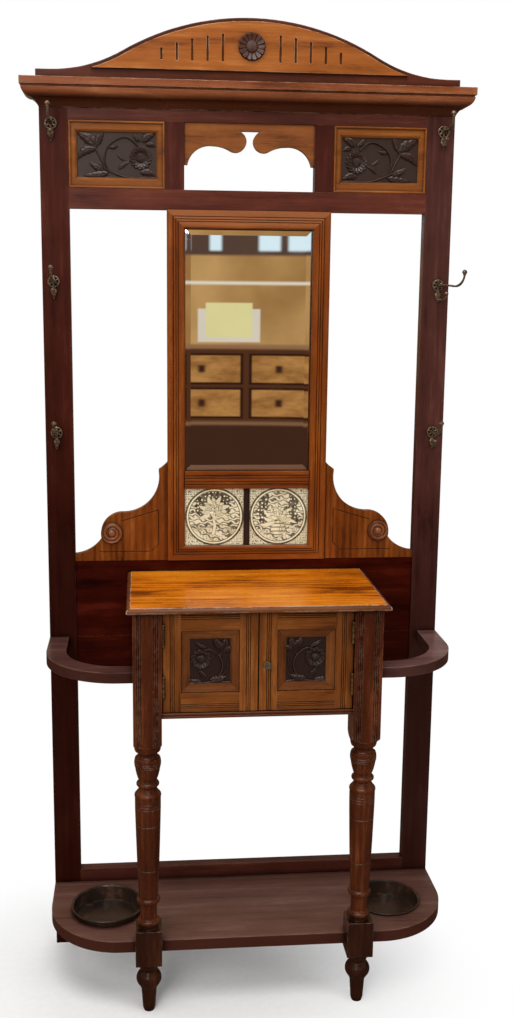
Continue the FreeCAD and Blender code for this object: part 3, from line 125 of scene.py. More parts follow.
def softbox(name, centre, aim, size, watts, tone, mirrored=False):
    """A rectangular lamp at a centre that shines towards an aim; only a mirrored one shows in gloss."""
    lamp = bpy.data.lights.new(name, "AREA")
    lamp.shape = "RECTANGLE"
    lamp.size, lamp.size_y = size
    lamp.energy = watts
    lamp.color = tone
    holder = bpy.data.objects.new(name, lamp)
    holder.location = centre
    holder.rotation_euler = (Vector(aim) - Vector(centre)).to_track_quat("-Z", "Y").to_euler()
    holder.visible_glossy = mirrored
    scene.collection.objects.link(holder)


EYE = (-0.265, -2.6615, 1.714)
yaw, pitch, roll = math.radians(5.40), math.radians(-10.12), math.radians(0.55)
ahead = Vector((math.sin(yaw) * math.cos(pitch), math.cos(yaw) * math.cos(pitch), math.sin(pitch)))
level = Vector((math.cos(yaw), -math.sin(yaw), 0))
upward = level.cross(ahead)
aside = level * math.cos(roll) + upward * math.sin(roll)
upward = upward * math.cos(roll) - level * math.sin(roll)
view = bpy.data.cameras.new("viewpoint")
view.lens, view.sensor_width = 40.25, 36
view.shift_x, view.shift_y = 0.0087, -0.0109
camera = bpy.data.objects.new("viewpoint", view)
turned = Matrix((aside, upward, -ahead)).transposed().to_4x4()
camera.matrix_world = Matrix.Translation(EYE) @ turned
scene.collection.objects.link(camera)
scene.camera = camera
scene.view_settings.view_transform = "Standard"

softbox("sky_lamp", (-0.5, -1.2, 4.3), (0.05, 0.0, 0.9), (3.0, 2.4), 92, (1.0, 0.985, 0.96), True)
softbox("front_lamp", (-1.7, -3.6, 2.7), (0, 0, 1.1), (2.2, 2.6), 84, (1.0, 0.98, 0.96))
softbox("right_lamp", (3.0, -2.3, 1.8), (0.1, 0, 1.0), (1.4, 2.4), 30, (0.95, 0.98, 1.0))
softbox("wall_lamp", (0.3, 3.2, 2.6), (0, 0, 1.0), (2.6, 2.2), 30, (1.0, 1.0, 1.0))
softbox("window_lamp", (-1.3, -4.0, 2.7), (0, 0, 1.0), (0.5, 1.3), 16, (1.0, 1.0, 1.0), True)

SKY_GLOW, SKY_GLOW_IN_GLOSS = 0.26, 0.08
sky = bpy.data.worlds.new("white_studio")
sky.use_nodes = True
scene.world = sky
tree = sky.node_tree
background = tree.nodes["Background"]
rays = add(tree, "LightPath").outputs
background.inputs["Color"].default_value = (1.0, 1.0, 1.0, 1)
share = sums(tree, "MULTIPLY_ADD", rays["Is Glossy Ray"], SKY_GLOW_IN_GLOSS - SKY_GLOW, SKY_GLOW)
wired(tree, background.inputs, strength=sums(tree, "MAXIMUM", share, rays["Is Camera Ray"]))

FLOOR_REACH = 9.0
FLOOR_UNSEEN, FLOOR_IN_GLOSS = (0.42, 0.40, 0.38, 1), (0.16, 0.075, 0.042, 1)
FADE_SHIFT, FADE_SCALE, FADE = (0.21, 0.03, 0), (1.15, 1.6, 0), (0.20, 1.02)
across, away = np.meshgrid((-FLOOR_REACH, FLOOR_REACH), (-FLOOR_REACH, FLOOR_REACH))
floor = built("floor", np.stack([across, away, across * 0], -1).reshape(-1, 3), np.array([[0, 1, 3, 2]]))
material, tree, shader, place = finish("pale_floor")
spread = add(tree, "VectorMath", {0: place, 1: FADE_SHIFT}, operation="ADD").outputs[0]
spread = add(tree, "VectorMath", {0: spread, 1: FADE_SCALE}, operation="MULTIPLY").outputs[0]
spread = add(tree, "VectorMath", {0: spread}, operation="LENGTH").outputs["Value"]
rays = add(tree, "LightPath").outputs
seen = rays["Is Camera Ray"]
shader.inputs["Roughness"].default_value = 0.75
shader.inputs["Specular IOR Level"].default_value = 0.2
grit = eased(tree, cloudy(tree, place, 60, 3), 0.3, 0.7)
pale = blended(tree, grit, (0.90, 0.90, 0.905, 1), (0.93, 0.93, 0.93, 1))
unseen = blended(tree, rays["Is Glossy Ray"], FLOOR_UNSEEN, FLOOR_IN_GLOSS)
wired(tree, shader.inputs, base_color=blended(tree, seen, unseen, pale))
glow = add(tree, "Emission", {"Color": (1, 1, 1, 1), "Strength": 1.0})
fade = add(tree, "MixShader", {0: sums(tree, "MULTIPLY", eased(tree, spread, *FADE), seen),
                               1: shader.outputs[0], 2: glow.outputs[0]})
wired(tree, tree.nodes["Material Output"].inputs, surface=fade.outputs[0])
floor.data.materials.append(material)

ROOM_RADIUS, ROOM_HEIGHT, BAYS_PER_RADIAN, BAY_SHIFT = 4.7, 4.4, 3.6, 0.40
WALL_POINTS = 97
angle, height = np.meshgrid(np.linspace(0, 2 * math.pi, WALL_POINTS), np.array([0.0, ROOM_HEIGHT]))
walls = np.stack([ROOM_RADIUS * np.sin(angle), ROOM_RADIUS * np.cos(angle), height], -1).reshape(-1, 3)
index = np.arange(WALL_POINTS * 2).reshape(2, WALL_POINTS)
room = built("room_in_the_glass", walls,
             np.stack([index[0, :-1], index[0, 1:], index[1, 1:], index[1, :-1]], -1))
material, tree, _, place = finish("plain_room")
parts = add(tree, "SeparateXYZ", {0: place}).outputs
turn = sums(tree, "ARCTAN2", parts["X"], parts["Y"])
bays = sums(tree, "FRACT", sums(tree, "MULTIPLY_ADD", turn, BAYS_PER_RADIAN, BAY_SHIFT))


def framed(value, low, high, edge):
    """1 where a value lies between low and high, 0 beyond, with soft edges."""
    return sums(tree, "MULTIPLY", eased(tree, value, low - edge, low + edge),
                eased(tree, value, high - edge, high + edge, 1.0, 0.0))


soft = eased(tree, cloudy(tree, place, 1.3, 4), 0.3, 0.7)
wood = eased(tree, cloudy(tree, place, 4, 4, 0.6, (1, 1, 3)), 0.3, 0.7)
drawer = blended(tree, wood, (0.26, 0.105, 0.028, 1), (0.50, 0.24, 0.072, 1))
# Rectangles painted on each bay of the wall, in order: sides as shares of the bay, levels in metres,
# tone and softness of the edge.
BAND, CRISP, SOFT = (-0.1, 1.1), 0.006, 0.012
painted = [(BAND, (-0.1, 1.37), (0.085, 0.030, 0.013, 1), SOFT),
           (BAND, (1.355, 1.385), (0.30, 0.15, 0.07, 1), SOFT)]
for foot, head in ((1.13, 1.31), (0.90, 1.08)):
    for start, stop in ((0.06, 0.34), (0.40, 0.80)):
        middle, level = (start + stop) / 2, (foot + head) / 2
        gap = (start - 0.015, stop + 0.015), (foot - 0.015, head + 0.015)
        knob = (middle - 0.018, middle + 0.018), (level - 0.025, level + 0.025)
        painted += [(*gap, (0.03, 0.011, 0.006, 1), CRISP), ((start, stop), (foot, head), drawer, CRISP),
                    (*knob, (0.05, 0.018, 0.010, 1), SOFT)]
painted += [(BAND, (0.84, 0.865), (0.22, 0.11, 0.055, 1), SOFT),
            (BAND, (-0.1, 0.835), (0.055, 0.021, 0.012, 1), SOFT),
            ((0.30, 0.62), (1.40, 1.62), (0.72, 0.63, 0.52, 1), CRISP),
            ((0.34, 0.58), (1.43, 1.66), (0.76, 0.68, 0.32, 1), CRISP),
            ((0.70, 0.86), (1.40, 1.54), (0.03, 0.025, 0.026, 1), 0.008),
            ((0.02, 0.74), (1.78, 1.80), (0.80, 0.72, 0.58, 1), 0.01),
            (BAND, (1.97, 3.0), (0.10, 0.055, 0.040, 1), SOFT)]
painted += [(pane, (2.0, 2.5), (0.74, 0.90, 0.97, 1), SOFT)
            for pane in ((0.05, 0.16), (0.20, 0.31), (0.50, 0.56), (0.66, 0.84))]
wall = blended(tree, soft, (0.34, 0.17, 0.055, 1), (0.58, 0.34, 0.13, 1))
for sides, levels, tone, edge in painted:
    inside = sums(tree, "MULTIPLY", framed(bays, *sides, edge), framed(parts["Z"], *levels, edge))
    wall = blended(tree, inside, wall, tone)
glow = add(tree, "Emission", {"Color": wall, "Strength": 1.0})
wired(tree, tree.nodes["Material Output"].inputs, surface=glow.outputs[0])
room.data.materials.append(material)
for kind in ("camera", "diffuse", "transmission", "volume_scatter", "shadow"):
    setattr(room, "visible_" + kind, False)

# ------------------------------------------------------------
# Back frame: two full-height stiles, top rail, frieze rail, muntins and bottom rail, sawn from dark
# red mahogany, tenoned together and french polished; the polish has gone thin along the edges.
# ------------------------------------------------------------
def group(name, inputs, outputs):
    """An empty shader node group with named inputs (with their starting values) and outputs."""
    tree = bpy.data.node_groups.new(name, "ShaderNodeTree")
    for label, kind, value in inputs:
        socket = tree.interface.new_socket(label, in_out="INPUT", socket_type="NodeSocket" + kind)
        if value is not None:
            socket.default_value = value
    for label, kind in outputs:
        tree.interface.new_socket(label, in_out="OUTPUT", socket_type="NodeSocket" + kind)
    return tree, tree.nodes.new("NodeGroupInput").outputs, tree.nodes.new("NodeGroupOutput").inputs


def bumped(tree, height, distance, strength, normal=None):
    """The normal of a surface raised by a height, over a softened normal where one is given."""
    inputs = {"Height": height, "Distance": distance, "Strength": strength}
    if normal is not None:
        inputs["Normal"] = normal
    return add(tree, "Bump", inputs).outputs[0]


def placed(tree, made, **inputs):
    """A group placed in a material; words of an input's name are joined by an underscore."""
    node = tree.nodes.new("ShaderNodeGroup")
    node.node_tree = made
    for label, value in inputs.items():
        socket = node.inputs[label.replace("_", " ").capitalize()]
        if isinstance(value, bpy.types.NodeSocket):
            tree.links.new(value, socket)
        else:
            socket.default_value = value
    return node.outputs


def make_timber():
    """Sawn mahogany with its grain along Z.  Rings are waves in the distance from a wavering line along
    Z; broad and fine streaks and fibres are noise drawn out along Z, pores the peaks of a finer one,
    mottle broad noise.  The colour goes from dark through middle to light by their weighted sum."""
    tree, given, out = group(
        "timber_figure",
        (("Position", "Vector", None), ("Dark", "Color", (0, 0, 0, 1)), ("Middle", "Color", (0, 0, 0, 1)),
         ("Light", "Color", (0, 0, 0, 1)), ("Rings", "Float", 24.0), ("Waver", "Float", 6.0),
         ("Mottle", "Float", 0.5), ("Ring share", "Float", 0.25)),
        (("Color", "Color"), ("Height", "Float")))
    position = given["Position"]
    drawn = add(tree, "VectorMath", {0: position, 1: (1, 1, 0.11)}, operation="MULTIPLY").outputs[0]
    rings = add(tree, "TexWave", {"Vector": drawn, "Scale": given["Rings"], "Distortion": given["Waver"],
                                  "Detail": 3.0, "Detail Scale": 0.35, "Detail Roughness": 0.55},
                wave_type="RINGS", rings_direction="Z", wave_profile="SIN").outputs["Fac"]
    broad, streaks, fibres, mottle = (
        sums(tree, "SUBTRACT", cloudy(tree, position, scale, detail, rough, (1, 1, along)), 0.5)
        for scale, detail, rough, along in ((42, 4, 0.62, 0.07), (150, 3, 0.6, 0.045), (620, 2, 0.6, 0.05),
                                            (13, 4, 0.6, 0.35)))
    rings = sums(tree, "MULTIPLY_ADD", eased(tree, rings, 0.0, 1.0, -0.22, 0.22), given["Ring share"],
                 sums(tree, "MULTIPLY", broad, 0.62))
    pores = eased(tree, cloudy(tree, position, 1500, 1, 0.5, (1, 1, 0.05)), 0.56, 0.74)
    level = sums(tree, "MULTIPLY_ADD", streaks, 0.3, sums(tree, "ADD", rings, 0.5))
    level = sums(tree, "MULTIPLY_ADD", fibres, 0.3, level)
    level = sums(tree, "MULTIPLY_ADD", mottle, given["Mottle"], level)
    colour = blended(tree, eased(tree, level, 0.12, 0.52), given["Dark"], given["Middle"])
    colour = blended(tree, eased(tree, level, 0.48, 0.92), colour, given["Light"])
    colour = blended(tree, sums(tree, "MULTIPLY", pores, 0.25), colour, given["Dark"])
    height = sums(tree, "MULTIPLY_ADD", fibres, 0.5, sums(tree, "MULTIPLY", pores, -0.6))
    wired(tree, out, color=colour, height=height)
    return tree


def make_edges():
    """Softened and rubbed edges.  The normal is averaged round each edge; the wear-and-highlight share is
    how far that average turns from the face, kept to outer corners and broken up by noise, and the nook
    share is how much of the near surroundings closes a point in.  The wood materials paint wear with a
    highlight on edges by the first and shade in nooks by the second."""
    tree, given, out = group(
        "edge_wear_highlight_and_shade",
        (("Position", "Vector", None), ("Radius", "Float", 0.0015), ("Breaks", "Float", 70.0)),
        (("Worn", "Float"), ("Nook", "Float"), ("Normal", "Vector")))
    soft = add(tree, "Bevel", {"Radius": given["Radius"]}, samples=4).outputs[0]
    face = add(tree, "NewGeometry").outputs["Normal"]
    turn = add(tree, "VectorMath", {0: soft, 1: face}, operation="DOT_PRODUCT").outputs["Value"]
    turn = eased(tree, sums(tree, "SUBTRACT", 1.0, turn), 0.015, 0.2)
    clear = add(tree, "AmbientOcclusion", {"Distance": 0.016}, samples=4).outputs["AO"]
    outer = sums(tree, "MULTIPLY", turn, eased(tree, clear, 0.55, 0.8))
    broken = eased(tree, cloudy(tree, given["Position"], given["Breaks"], 4, 0.65), 0.36, 0.62)
    nook = eased(tree, clear, 0.96, 0.45)
    wired(tree, out, worn=sums(tree, "MULTIPLY", outer, broken), nook=nook, normal=soft)
    return tree


def make_polish():
    """Old french polish.  Roughness goes from bright to dull by cloudy patches and by finer smears; the
    film's share follows the same patches; its height is a faint unevenness left by the rubber."""
    tree, given, out = group(
        "old_polish",
        (("Position", "Vector", None), ("Bright", "Float", 0.25), ("Dull", "Float", 0.5),
         ("Film", "Float", 0.5)),
        (("Roughness", "Float"), ("Film", "Float"), ("Height", "Float")))
    patches = cloudy(tree, given["Position"], 7, 4, 0.6)
    smears = cloudy(tree, given["Position"], 90, 3, 0.6, (1, 1, 0.35))
    level = sums(tree, "MULTIPLY_ADD", smears, 0.4, sums(tree, "MULTIPLY", patches, 0.75))
    share = eased(tree, level, 0.35, 0.8)
    spread = sums(tree, "SUBTRACT", given["Dull"], given["Bright"])
    kept = eased(tree, share, 0.0, 1.0, 1.0, 0.45)
    wired(tree, out, roughness=sums(tree, "MULTIPLY_ADD", share, spread, given["Bright"]),
          film=sums(tree, "MULTIPLY", kept, given["Film"]), height=cloudy(tree, given["Position"], 260, 2))
    return tree


AXES = {"up": "XYZ", "across": "ZYX", "back": "XZY"}


def grained(tree, place, grain):
    """A place with its axes changed round so that Z runs along the grain."""
    parts = add(tree, "SeparateXYZ", {0: place}).outputs
    turned = {number: parts[axis] for number, axis in enumerate(AXES[grain])}
    return add(tree, "CombineXYZ", turned).outputs[0]


def make_member_turn():
    """Turns the grain with a frame's members.  Where a point lies further out across the frame than up
    it, counted from the light's edges, it is in an upright and keeps Z; elsewhere X and Z change
    places.  At mitres both counts matter, at rails between stiles only the first."""
    tree, given, out = group(
        "member_turn",
        (("Position", "Vector", None), ("Centre", "Vector", (0, 0, 0)), ("Light", "Vector", (0, 0, 0)),
         ("Mitre", "Float", 1.0)), (("Position", "Vector"),))
    off = given["Position"]
    for operation, other in (("SUBTRACT", given["Centre"]), ("ABSOLUTE", (0, 0, 0)),
                             ("SUBTRACT", given["Light"])):
        off = add(tree, "VectorMath", {0: off, 1: other}, operation=operation).outputs[0]
    off = add(tree, "SeparateXYZ", {0: off}).outputs
    upright = sums(tree, "GREATER_THAN", off["X"], sums(tree, "MULTIPLY", off["Z"], given["Mitre"]))
    lying = grained(tree, given["Position"], "across")
    # Inputs 4 and 5 are the Mix node's two vectors.
    turned = add(tree, "Mix", {0: upright, 4: lying, 5: given["Position"]}, data_type="VECTOR").outputs[1]
    wired(tree, out, position=turned)
    return tree


timber, edges, polish, member_turn = make_timber(), make_edges(), make_polish(), make_member_turn()


def mahogany(name, dark, middle, light, grain="up", pith=(0.03, 0.06), rings=24.0, waver=6.0, mottle=0.5,
             ring_share=0.12, radius=0.0015, worn=0.5, wear_and_highlight_tone=(0.30, 0.14, 0.06, 1), breaks=70.0,
             bright=0.26, dull=0.48, film=0.2, nook=0.85, shine=0.16, light_of=None, lip=None):
    """Polished mahogany.  The grain runs up, across or back, or turns with the members of a frame whose
    light is given by its centre, half size and mitre; the pith is how far the tree's heart lies from
    the piece.  A lip gives two levels, a tone and its share, reached on the way from the first level to
    the second; most pieces use it to paint shade and highlights by height.  Edges mix in a pale tone,
    bare wood with a painted highlight; nooks are darkened towards the dark tone, painted shade with old
    polish."""
    material, tree, shader, place = finish(name)
    if light_of:
        centre, half, mitre = light_of
        run = placed(tree, member_turn, position=place, centre=centre, light=half, mitre=mitre)[0]
    else:
        run = grained(tree, place, grain)
    run = add(tree, "VectorMath", {0: run, 1: (pith[0], pith[1], 0)}, operation="ADD").outputs[0]
    figure = placed(tree, timber, position=run, dark=dark, middle=middle, light=light, rings=rings,
                    waver=waver, mottle=mottle, ring_share=ring_share)
    edge = placed(tree, edges, position=place, radius=radius, breaks=breaks)
    film_of = placed(tree, polish, position=run, bright=bright, dull=dull, film=film)
    colour = figure["Color"]
    if lip:
        start, stop, tone, share = lip
        level = add(tree, "SeparateXYZ", {0: place}).outputs["Z"]
        colour = blended(tree, eased(tree, level, start, stop, 0.0, share), colour, tone)
    colour = blended(tree, sums(tree, "MULTIPLY", edge["Worn"], worn), colour, wear_and_highlight_tone)
    colour = blended(tree, sums(tree, "MULTIPLY", edge["Nook"], nook), colour, dark, "MULTIPLY")
    height = sums(tree, "MULTIPLY_ADD", film_of["Height"], 0.35, figure["Height"])
    wired(tree, shader.inputs, base_color=colour, roughness=film_of["Roughness"], coat_weight=film_of["Film"],
          normal=bumped(tree, height, 0.00018, 0.5, edge["Normal"]))
    shader.inputs["Coat Roughness"].default_value = 0.2
    shader.inputs["Specular IOR Level"].default_value = shine
    return material


def clad(material, *names):
    """The material in every slot of these parts of the measured frame."""
    for name in names:
        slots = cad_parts[name].data.materials
        for number in range(len(slots)):
            slots[number] = material


DARK = (0.011, 0.0018, 0.0010, 1), (0.044, 0.0072, 0.0036, 1), (0.105, 0.023, 0.0115, 1)
# Left stile: darker from 1.9 m down to 0.9 m, painted shade.
clad(mahogany("left_stile_mahogany", *DARK, pith=(0.02, 0.11), rings=20, mottle=0.9, film=0.06, shine=0.08,
              lip=(1.9, 0.9, (0.014, 0.0016, 0.0006, 1), 0.6)), "left_stile")
clad(mahogany("muntin_mahogany", *DARK, pith=(0.02, 0.11), rings=20, mottle=0.9), "muntins")
# Right stile: greyer tones, a painted sheen, and darker from 1.25 m down to 0.75 m, painted shade.
clad(mahogany("right_stile_mahogany", (0.014, 0.0035, 0.0026, 1), (0.056, 0.0155, 0.0120, 1),
              (0.125, 0.042, 0.034, 1), pith=(-0.9, 0.11), rings=20, mottle=0.9, film=0.3,
              lip=(1.25, 0.75, (0.022, 0.0040, 0.0022, 1), 0.7)), "right_stile")
RAIL = (0.014, 0.0028, 0.0018, 1), (0.060, 0.0135, 0.0085, 1), (0.135, 0.038, 0.024, 1)
clad(mahogany("rail_mahogany", *RAIL, grain="across", pith=(0.14, 0.05), rings=22, mottle=0.8), "top_rail",
     "bottom_rail")
clad(mahogany("frieze_rail_mahogany", (0.022, 0.0042, 0.0024, 1), (0.090, 0.0195, 0.0105, 1),
              (0.185, 0.052, 0.030, 1), grain="across", pith=(0.14, 0.05), rings=22, mottle=0.8),
     "frieze_rail")

# ------------------------------------------------------------
# Back boards: a wide board behind the cupboard top and another behind the cupboard, of darker, redder
# mahogany with a broad mottled figure, grooved into the stiles.
# ------------------------------------------------------------
clad(mahogany("back_board_mahogany", (0.010, 0.0008, 0.0003, 1), (0.034, 0.0026, 0.0006, 1),
              (0.080, 0.009, 0.003, 1), grain="across", pith=(-0.86, 0.05), rings=16, waver=9, mottle=1.5,
              ring_share=0.35, bright=0.3, dull=0.5, film=0.04, shine=0.05), "back_board", "lower_back_board")

# ------------------------------------------------------------
# Cornice: a moulding along the front with mitred returns, capped by a thin board with a rounded edge;
# its upper edges catch hands and dusters, so they are rubbed to a paler brown that is also a painted
# highlight.  Below its upper fillet the moulding darkens: painted shade.
# ------------------------------------------------------------
CORNICE = (0.040, 0.0095, 0.0040, 1), (0.195, 0.056, 0.0200, 1), (0.40, 0.145, 0.058, 1)
SHADED = (2.177, 2.163, (0.034, 0.0068, 0.0026, 1), 0.88)
EDGED = dict(mottle=0.8, breaks=26, bright=0.2, dull=0.42)
clad(mahogany("cornice_cap_mahogany", *CORNICE, grain="across", pith=(-2.0, 0.04), radius=0.0028,
              worn=0.8, wear_and_highlight_tone=(0.62, 0.40, 0.27, 1), **EDGED), "cornice_cap")
for name, node, grain, pith in (("cornice_mahogany", "cornice_front", "across", (-2.0, 0.04)),
                                ("cornice_return_mahogany", "cornice_returns", "back", (0.3, 0.04))):
    clad(mahogany(name, *CORNICE, grain=grain, pith=pith, radius=0.0025, worn=0.55,
                  wear_and_highlight_tone=(0.55, 0.30, 0.18, 1), lip=SHADED, **EDGED), node)

# ------------------------------------------------------------
# Pediment: a board sawn to a low arch with dark polish, and on it a paler golden panel with upright
# slots cut in its face.
# ------------------------------------------------------------
# The pale edges of the board and of the panel are painted highlights with wear.
clad(mahogany("pediment_mahogany", (0.018, 0.0036, 0.0018, 1), (0.078, 0.0165, 0.0070, 1),
              (0.17, 0.050, 0.020, 1), grain="across", pith=(-2.2, 0.08), mottle=0.8, radius=0.003,
              worn=0.9, wear_and_highlight_tone=(0.40, 0.30, 0.26, 1), breaks=22, film=0.3), "pediment_board")
clad(mahogany("tympanum_mahogany", (0.080, 0.018, 0.0028, 1), (0.265, 0.075, 0.0120, 1),
              (0.43, 0.155, 0.034, 1), grain="across", pith=(-2.24, 0.05), rings=30, mottle=0.9,
              ring_share=0.4, radius=0.0025, worn=0.85, wear_and_highlight_tone=(0.80, 0.56, 0.36, 1), breaks=20,
              bright=0.3, dull=0.5, nook=0.9), "tympanum_panel")

# ------------------------------------------------------------
# Rosette in the middle of the pediment: fourteen petals carved round a broad dome scored by the gouge,
# stained dark and glued on; shade is painted in its hollows and a highlight on its high ground.
# ------------------------------------------------------------
def make_stain_and_painted_light():
    """Dark stained carving.  The tone goes from hollow to high ground by the piece's own cavity value,
    with noise over it: stain with painted shade in the hollows, a painted highlight on the high ground.
    The gloss follows: high ground is rubbed bright, hollows stay dull."""
    tree, given, out = group(
        "carver_stain_and_painted_light",
        (("Position", "Vector", None), ("Cavity", "Float", 0.5), ("Hollow", "Color", (0, 0, 0, 1)),
         ("Ground", "Color", (0, 0, 0, 1)), ("High", "Color", (0, 0, 0, 1))),
        (("Color", "Color"), ("Roughness", "Float"), ("Height", "Float")))
    fibres = cloudy(tree, given["Position"], 500, 3, 0.6, (0.07, 1, 1))
    patches = cloudy(tree, given["Position"], 60, 3, 0.6)
    level = sums(tree, "MULTIPLY_ADD", sums(tree, "SUBTRACT", fibres, 0.5), 0.25, given["Cavity"])
    level = sums(tree, "MULTIPLY_ADD", sums(tree, "SUBTRACT", patches, 0.5), 0.5, level)
    colour = blended(tree, eased(tree, level, 0.05, 0.42), given["Hollow"], given["Ground"])
    colour = blended(tree, eased(tree, level, 0.55, 1.0), colour, given["High"])
    wired(tree, out, color=colour, roughness=eased(tree, level, 0.2, 0.9, 0.46, 0.26), height=fibres)
    return tree


carver_stain_and_painted_light = make_stain_and_painted_light()


def stained(name, hollow, ground, high):
    """Material of a carved piece, from the stain group and the piece's cavity attribute, which paints
    shade in the hollows and a highlight on the high ground.
    """
    material, tree, shader, place = finish(name)
    cavity = add(tree, "Attribute", attribute_name="cavity").outputs["Fac"]
    stain = placed(tree, carver_stain_and_painted_light, position=place, cavity=cavity, hollow=hollow, ground=ground,
                   high=high)
    wired(tree, shader.inputs, base_color=stain["Color"], roughness=stain["Roughness"],
          normal=bumped(tree, stain["Height"], 0.0002, 0.4))
    shader.inputs["Specular IOR Level"].default_value = 0.55
    return material


def marked(piece, name, values):
    """A named number on every point of a piece, for its material to read."""
    kept = piece.data.attributes.new(name, "FLOAT", "POINT")
    kept.data.foreach_set("value", np.asarray(values, np.float32).ravel())


def capped(start, rings, stop):
    """Points, quads and end triangles of a run of rings closed by a point before and a point after."""
    count = rings.shape[1]
    points = np.concatenate([[start], rings.reshape(-1, 3), [stop]])
    index = 1 + np.arange(rings.shape[0] * count).reshape(-1, count)
    after = np.roll(index, -1, 1)
    quads = np.stack([index[:-1], index[1:], after[1:], after[:-1]], -1).reshape(-1, 4)
    first = np.stack([np.zeros(count, int), index[0], after[0]], -1)
    last = np.stack([np.full(count, len(points) - 1), after[-1], index[-1]], -1)
    return points, quads, np.concatenate([first, last])


def turned_face(name, centre, radii, count, rise, cavity, back):
    """A round relief facing the front: at radius r and angle a its height is rise(r, a).  The rings run
    out from a middle point to the rim, drop to the back and close there on a second middle point."""
    angle = np.arange(count) * 2 * math.pi / count
    r, a = np.meshgrid(radii[1:], angle, indexing="ij")
    y = centre[1] - rise(r, a)
    rings = np.stack([centre[0] + r * np.cos(a), y, centre[2] + r * np.sin(a)], -1)
    skirt = rings[-1:].copy()
    skirt[..., 1] = back
    rings = np.concatenate([rings, skirt])
    heart = (centre[0], centre[1] - float(rise(np.zeros(1), np.zeros(1))[0]), centre[2])
    piece = built(name, *capped(heart, rings, (centre[0], back, centre[2])))
    marked(piece, "cavity", np.concatenate([[0.5], cavity(r, a).ravel(), np.zeros(count + 1)]))
    return piece


PETALS, PETAL_TIP, DOME_RIM = 14, 31.0, 13.5


def petal_rise(r, a):
    """Fourteen petals: from the dome's rim each rises outwards to a round tip and is parted from the
    next by a cleft; inside, a broad dome cut across with a lattice of gouge marks.  In millimetres."""
    r = r * 1000
    fold = np.abs(np.cos(PETALS / 2 * a))
    along = np.clip((r - DOME_RIM) / (PETAL_TIP - DOME_RIM), 0, 1)
    tip = np.clip((PETAL_TIP - 1.8 * (1 - fold) ** 1.5 - r) / 1.4, 0, 1) ** 0.5
    petal = (2.4 + 4.2 * along ** 1.3) * (1 - 0.6 * np.exp(-(fold / 0.2) ** 2)) * tip
    x, z = r * np.cos(a), r * np.sin(a)
    cuts = 0.45 * np.cos((x + z) * 1.5) * np.cos((x - z) * 1.5)
    dome = 2.2 + 5.4 * np.sqrt(np.clip(1 - (r / 14.2) ** 2, 0, 1)) + cuts * np.clip((13 - r) / 2, 0, 1)
    return np.clip(np.where(r < DOME_RIM, dome, np.maximum(petal, 1.2)), 1.0, 8.6) / 1000


def petal_cavity(r, a):
    """How far a point stands above the mean of its ring, from 0 to 1, less at the rim and round the dome;
    low values paint shade and high ones a highlight.
    """
    height = petal_rise(r, a)
    return np.clip(0.5 + (height - height.mean(1, keepdims=True)) * 240 - 0.4 * (r * 1000 > 30)
                   - 0.4 * np.exp(-((r * 1000 - 13.8) / 1.2) ** 2), 0, 1)


low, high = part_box("tympanum_rosette")
middle_x, middle_z = (low.x + high.x) / 2, (low.z + high.z) / 2
rosette = turned_face("carved_rosette", (middle_x, high.y, middle_z), np.linspace(0, 31.6, 74) / 1000, 256,
                      petal_rise, petal_cavity, high.y)
rosette.data.materials.append(stained("rosette_stain_and_painted_light", (0.006, 0.0022, 0.0014, 1),
                                      (0.055, 0.0175, 0.0095, 1), (0.13, 0.050, 0.030, 1)))
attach(rosette, "root")
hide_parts("tympanum_rosette")

# ------------------------------------------------------------
# Frieze panels: two boards carved in low relief with a daisy on an arching stem and leaves, the
# ground punched and stained nearly black, held in mitred golden mouldings.
# ------------------------------------------------------------
def smudged(field, width):
    """A field averaged over a square of cells: running sums along each axis in turn, edges held."""
    for axis in (0, 1):
        padded = np.concatenate([np.repeat(field.take([0], axis), width, axis), field,
                                 np.repeat(field.take([-1], axis), width, axis)], axis)
        run = np.cumsum(padded, axis)
        reach = field.shape[axis]
        field = (run.take(np.arange(2 * width, 2 * width + reach), axis)
                 - run.take(np.arange(reach), axis)) / (2.0 * width)
    return field


def smooth_line(knots):
    """Points along a curve through the knots: on each span a cubic that leaves and arrives along the
    line between its neighbours."""
    knots = np.asarray(knots, float)
    padded = np.concatenate([2 * knots[:1] - knots[1:2], knots, 2 * knots[-1:] - knots[-2:-1]])
    t = np.linspace(0, len(knots) - 1 - 1e-9, 56)
    span = t.astype(int)
    t = (t - span)[:, None]
    p0, p1, p2, p3 = (padded[span + step] for step in range(4))
    return 0.5 * (2 * p1 + (p2 - p0) * t + (2 * p0 - 5 * p1 + 4 * p2 - p3) * t ** 2
                  + (3 * p1 - p0 - 3 * p2 + p3) * t ** 3)


def stem_rise(u, v, knots, thick, rise):
    """Round stem along a smooth line: rise times the root of 1 less the squared distance over half its
    thickness, which goes evenly from its first to its last value."""
    line = smooth_line(knots)
    best = np.full(u.shape, 1e9)
    share = np.zeros(u.shape)
    for number, (start, stop) in enumerate(zip(line[:-1], line[1:])):
        step = stop - start
        t = np.clip(((u - start[0]) * step[0] + (v - start[1]) * step[1]) / (step @ step), 0, 1)
        gap = np.hypot(u - start[0] - t * step[0], v - start[1] - t * step[1])
        nearer = gap < best
        best = np.where(nearer, gap, best)
        share = np.where(nearer, (number + t) / (len(line) - 1), share)
    half = (thick[0] + (thick[1] - thick[0]) * share) / 2
    return rise * np.sqrt(np.clip(1 - (best / half) ** 2, 0, 1))


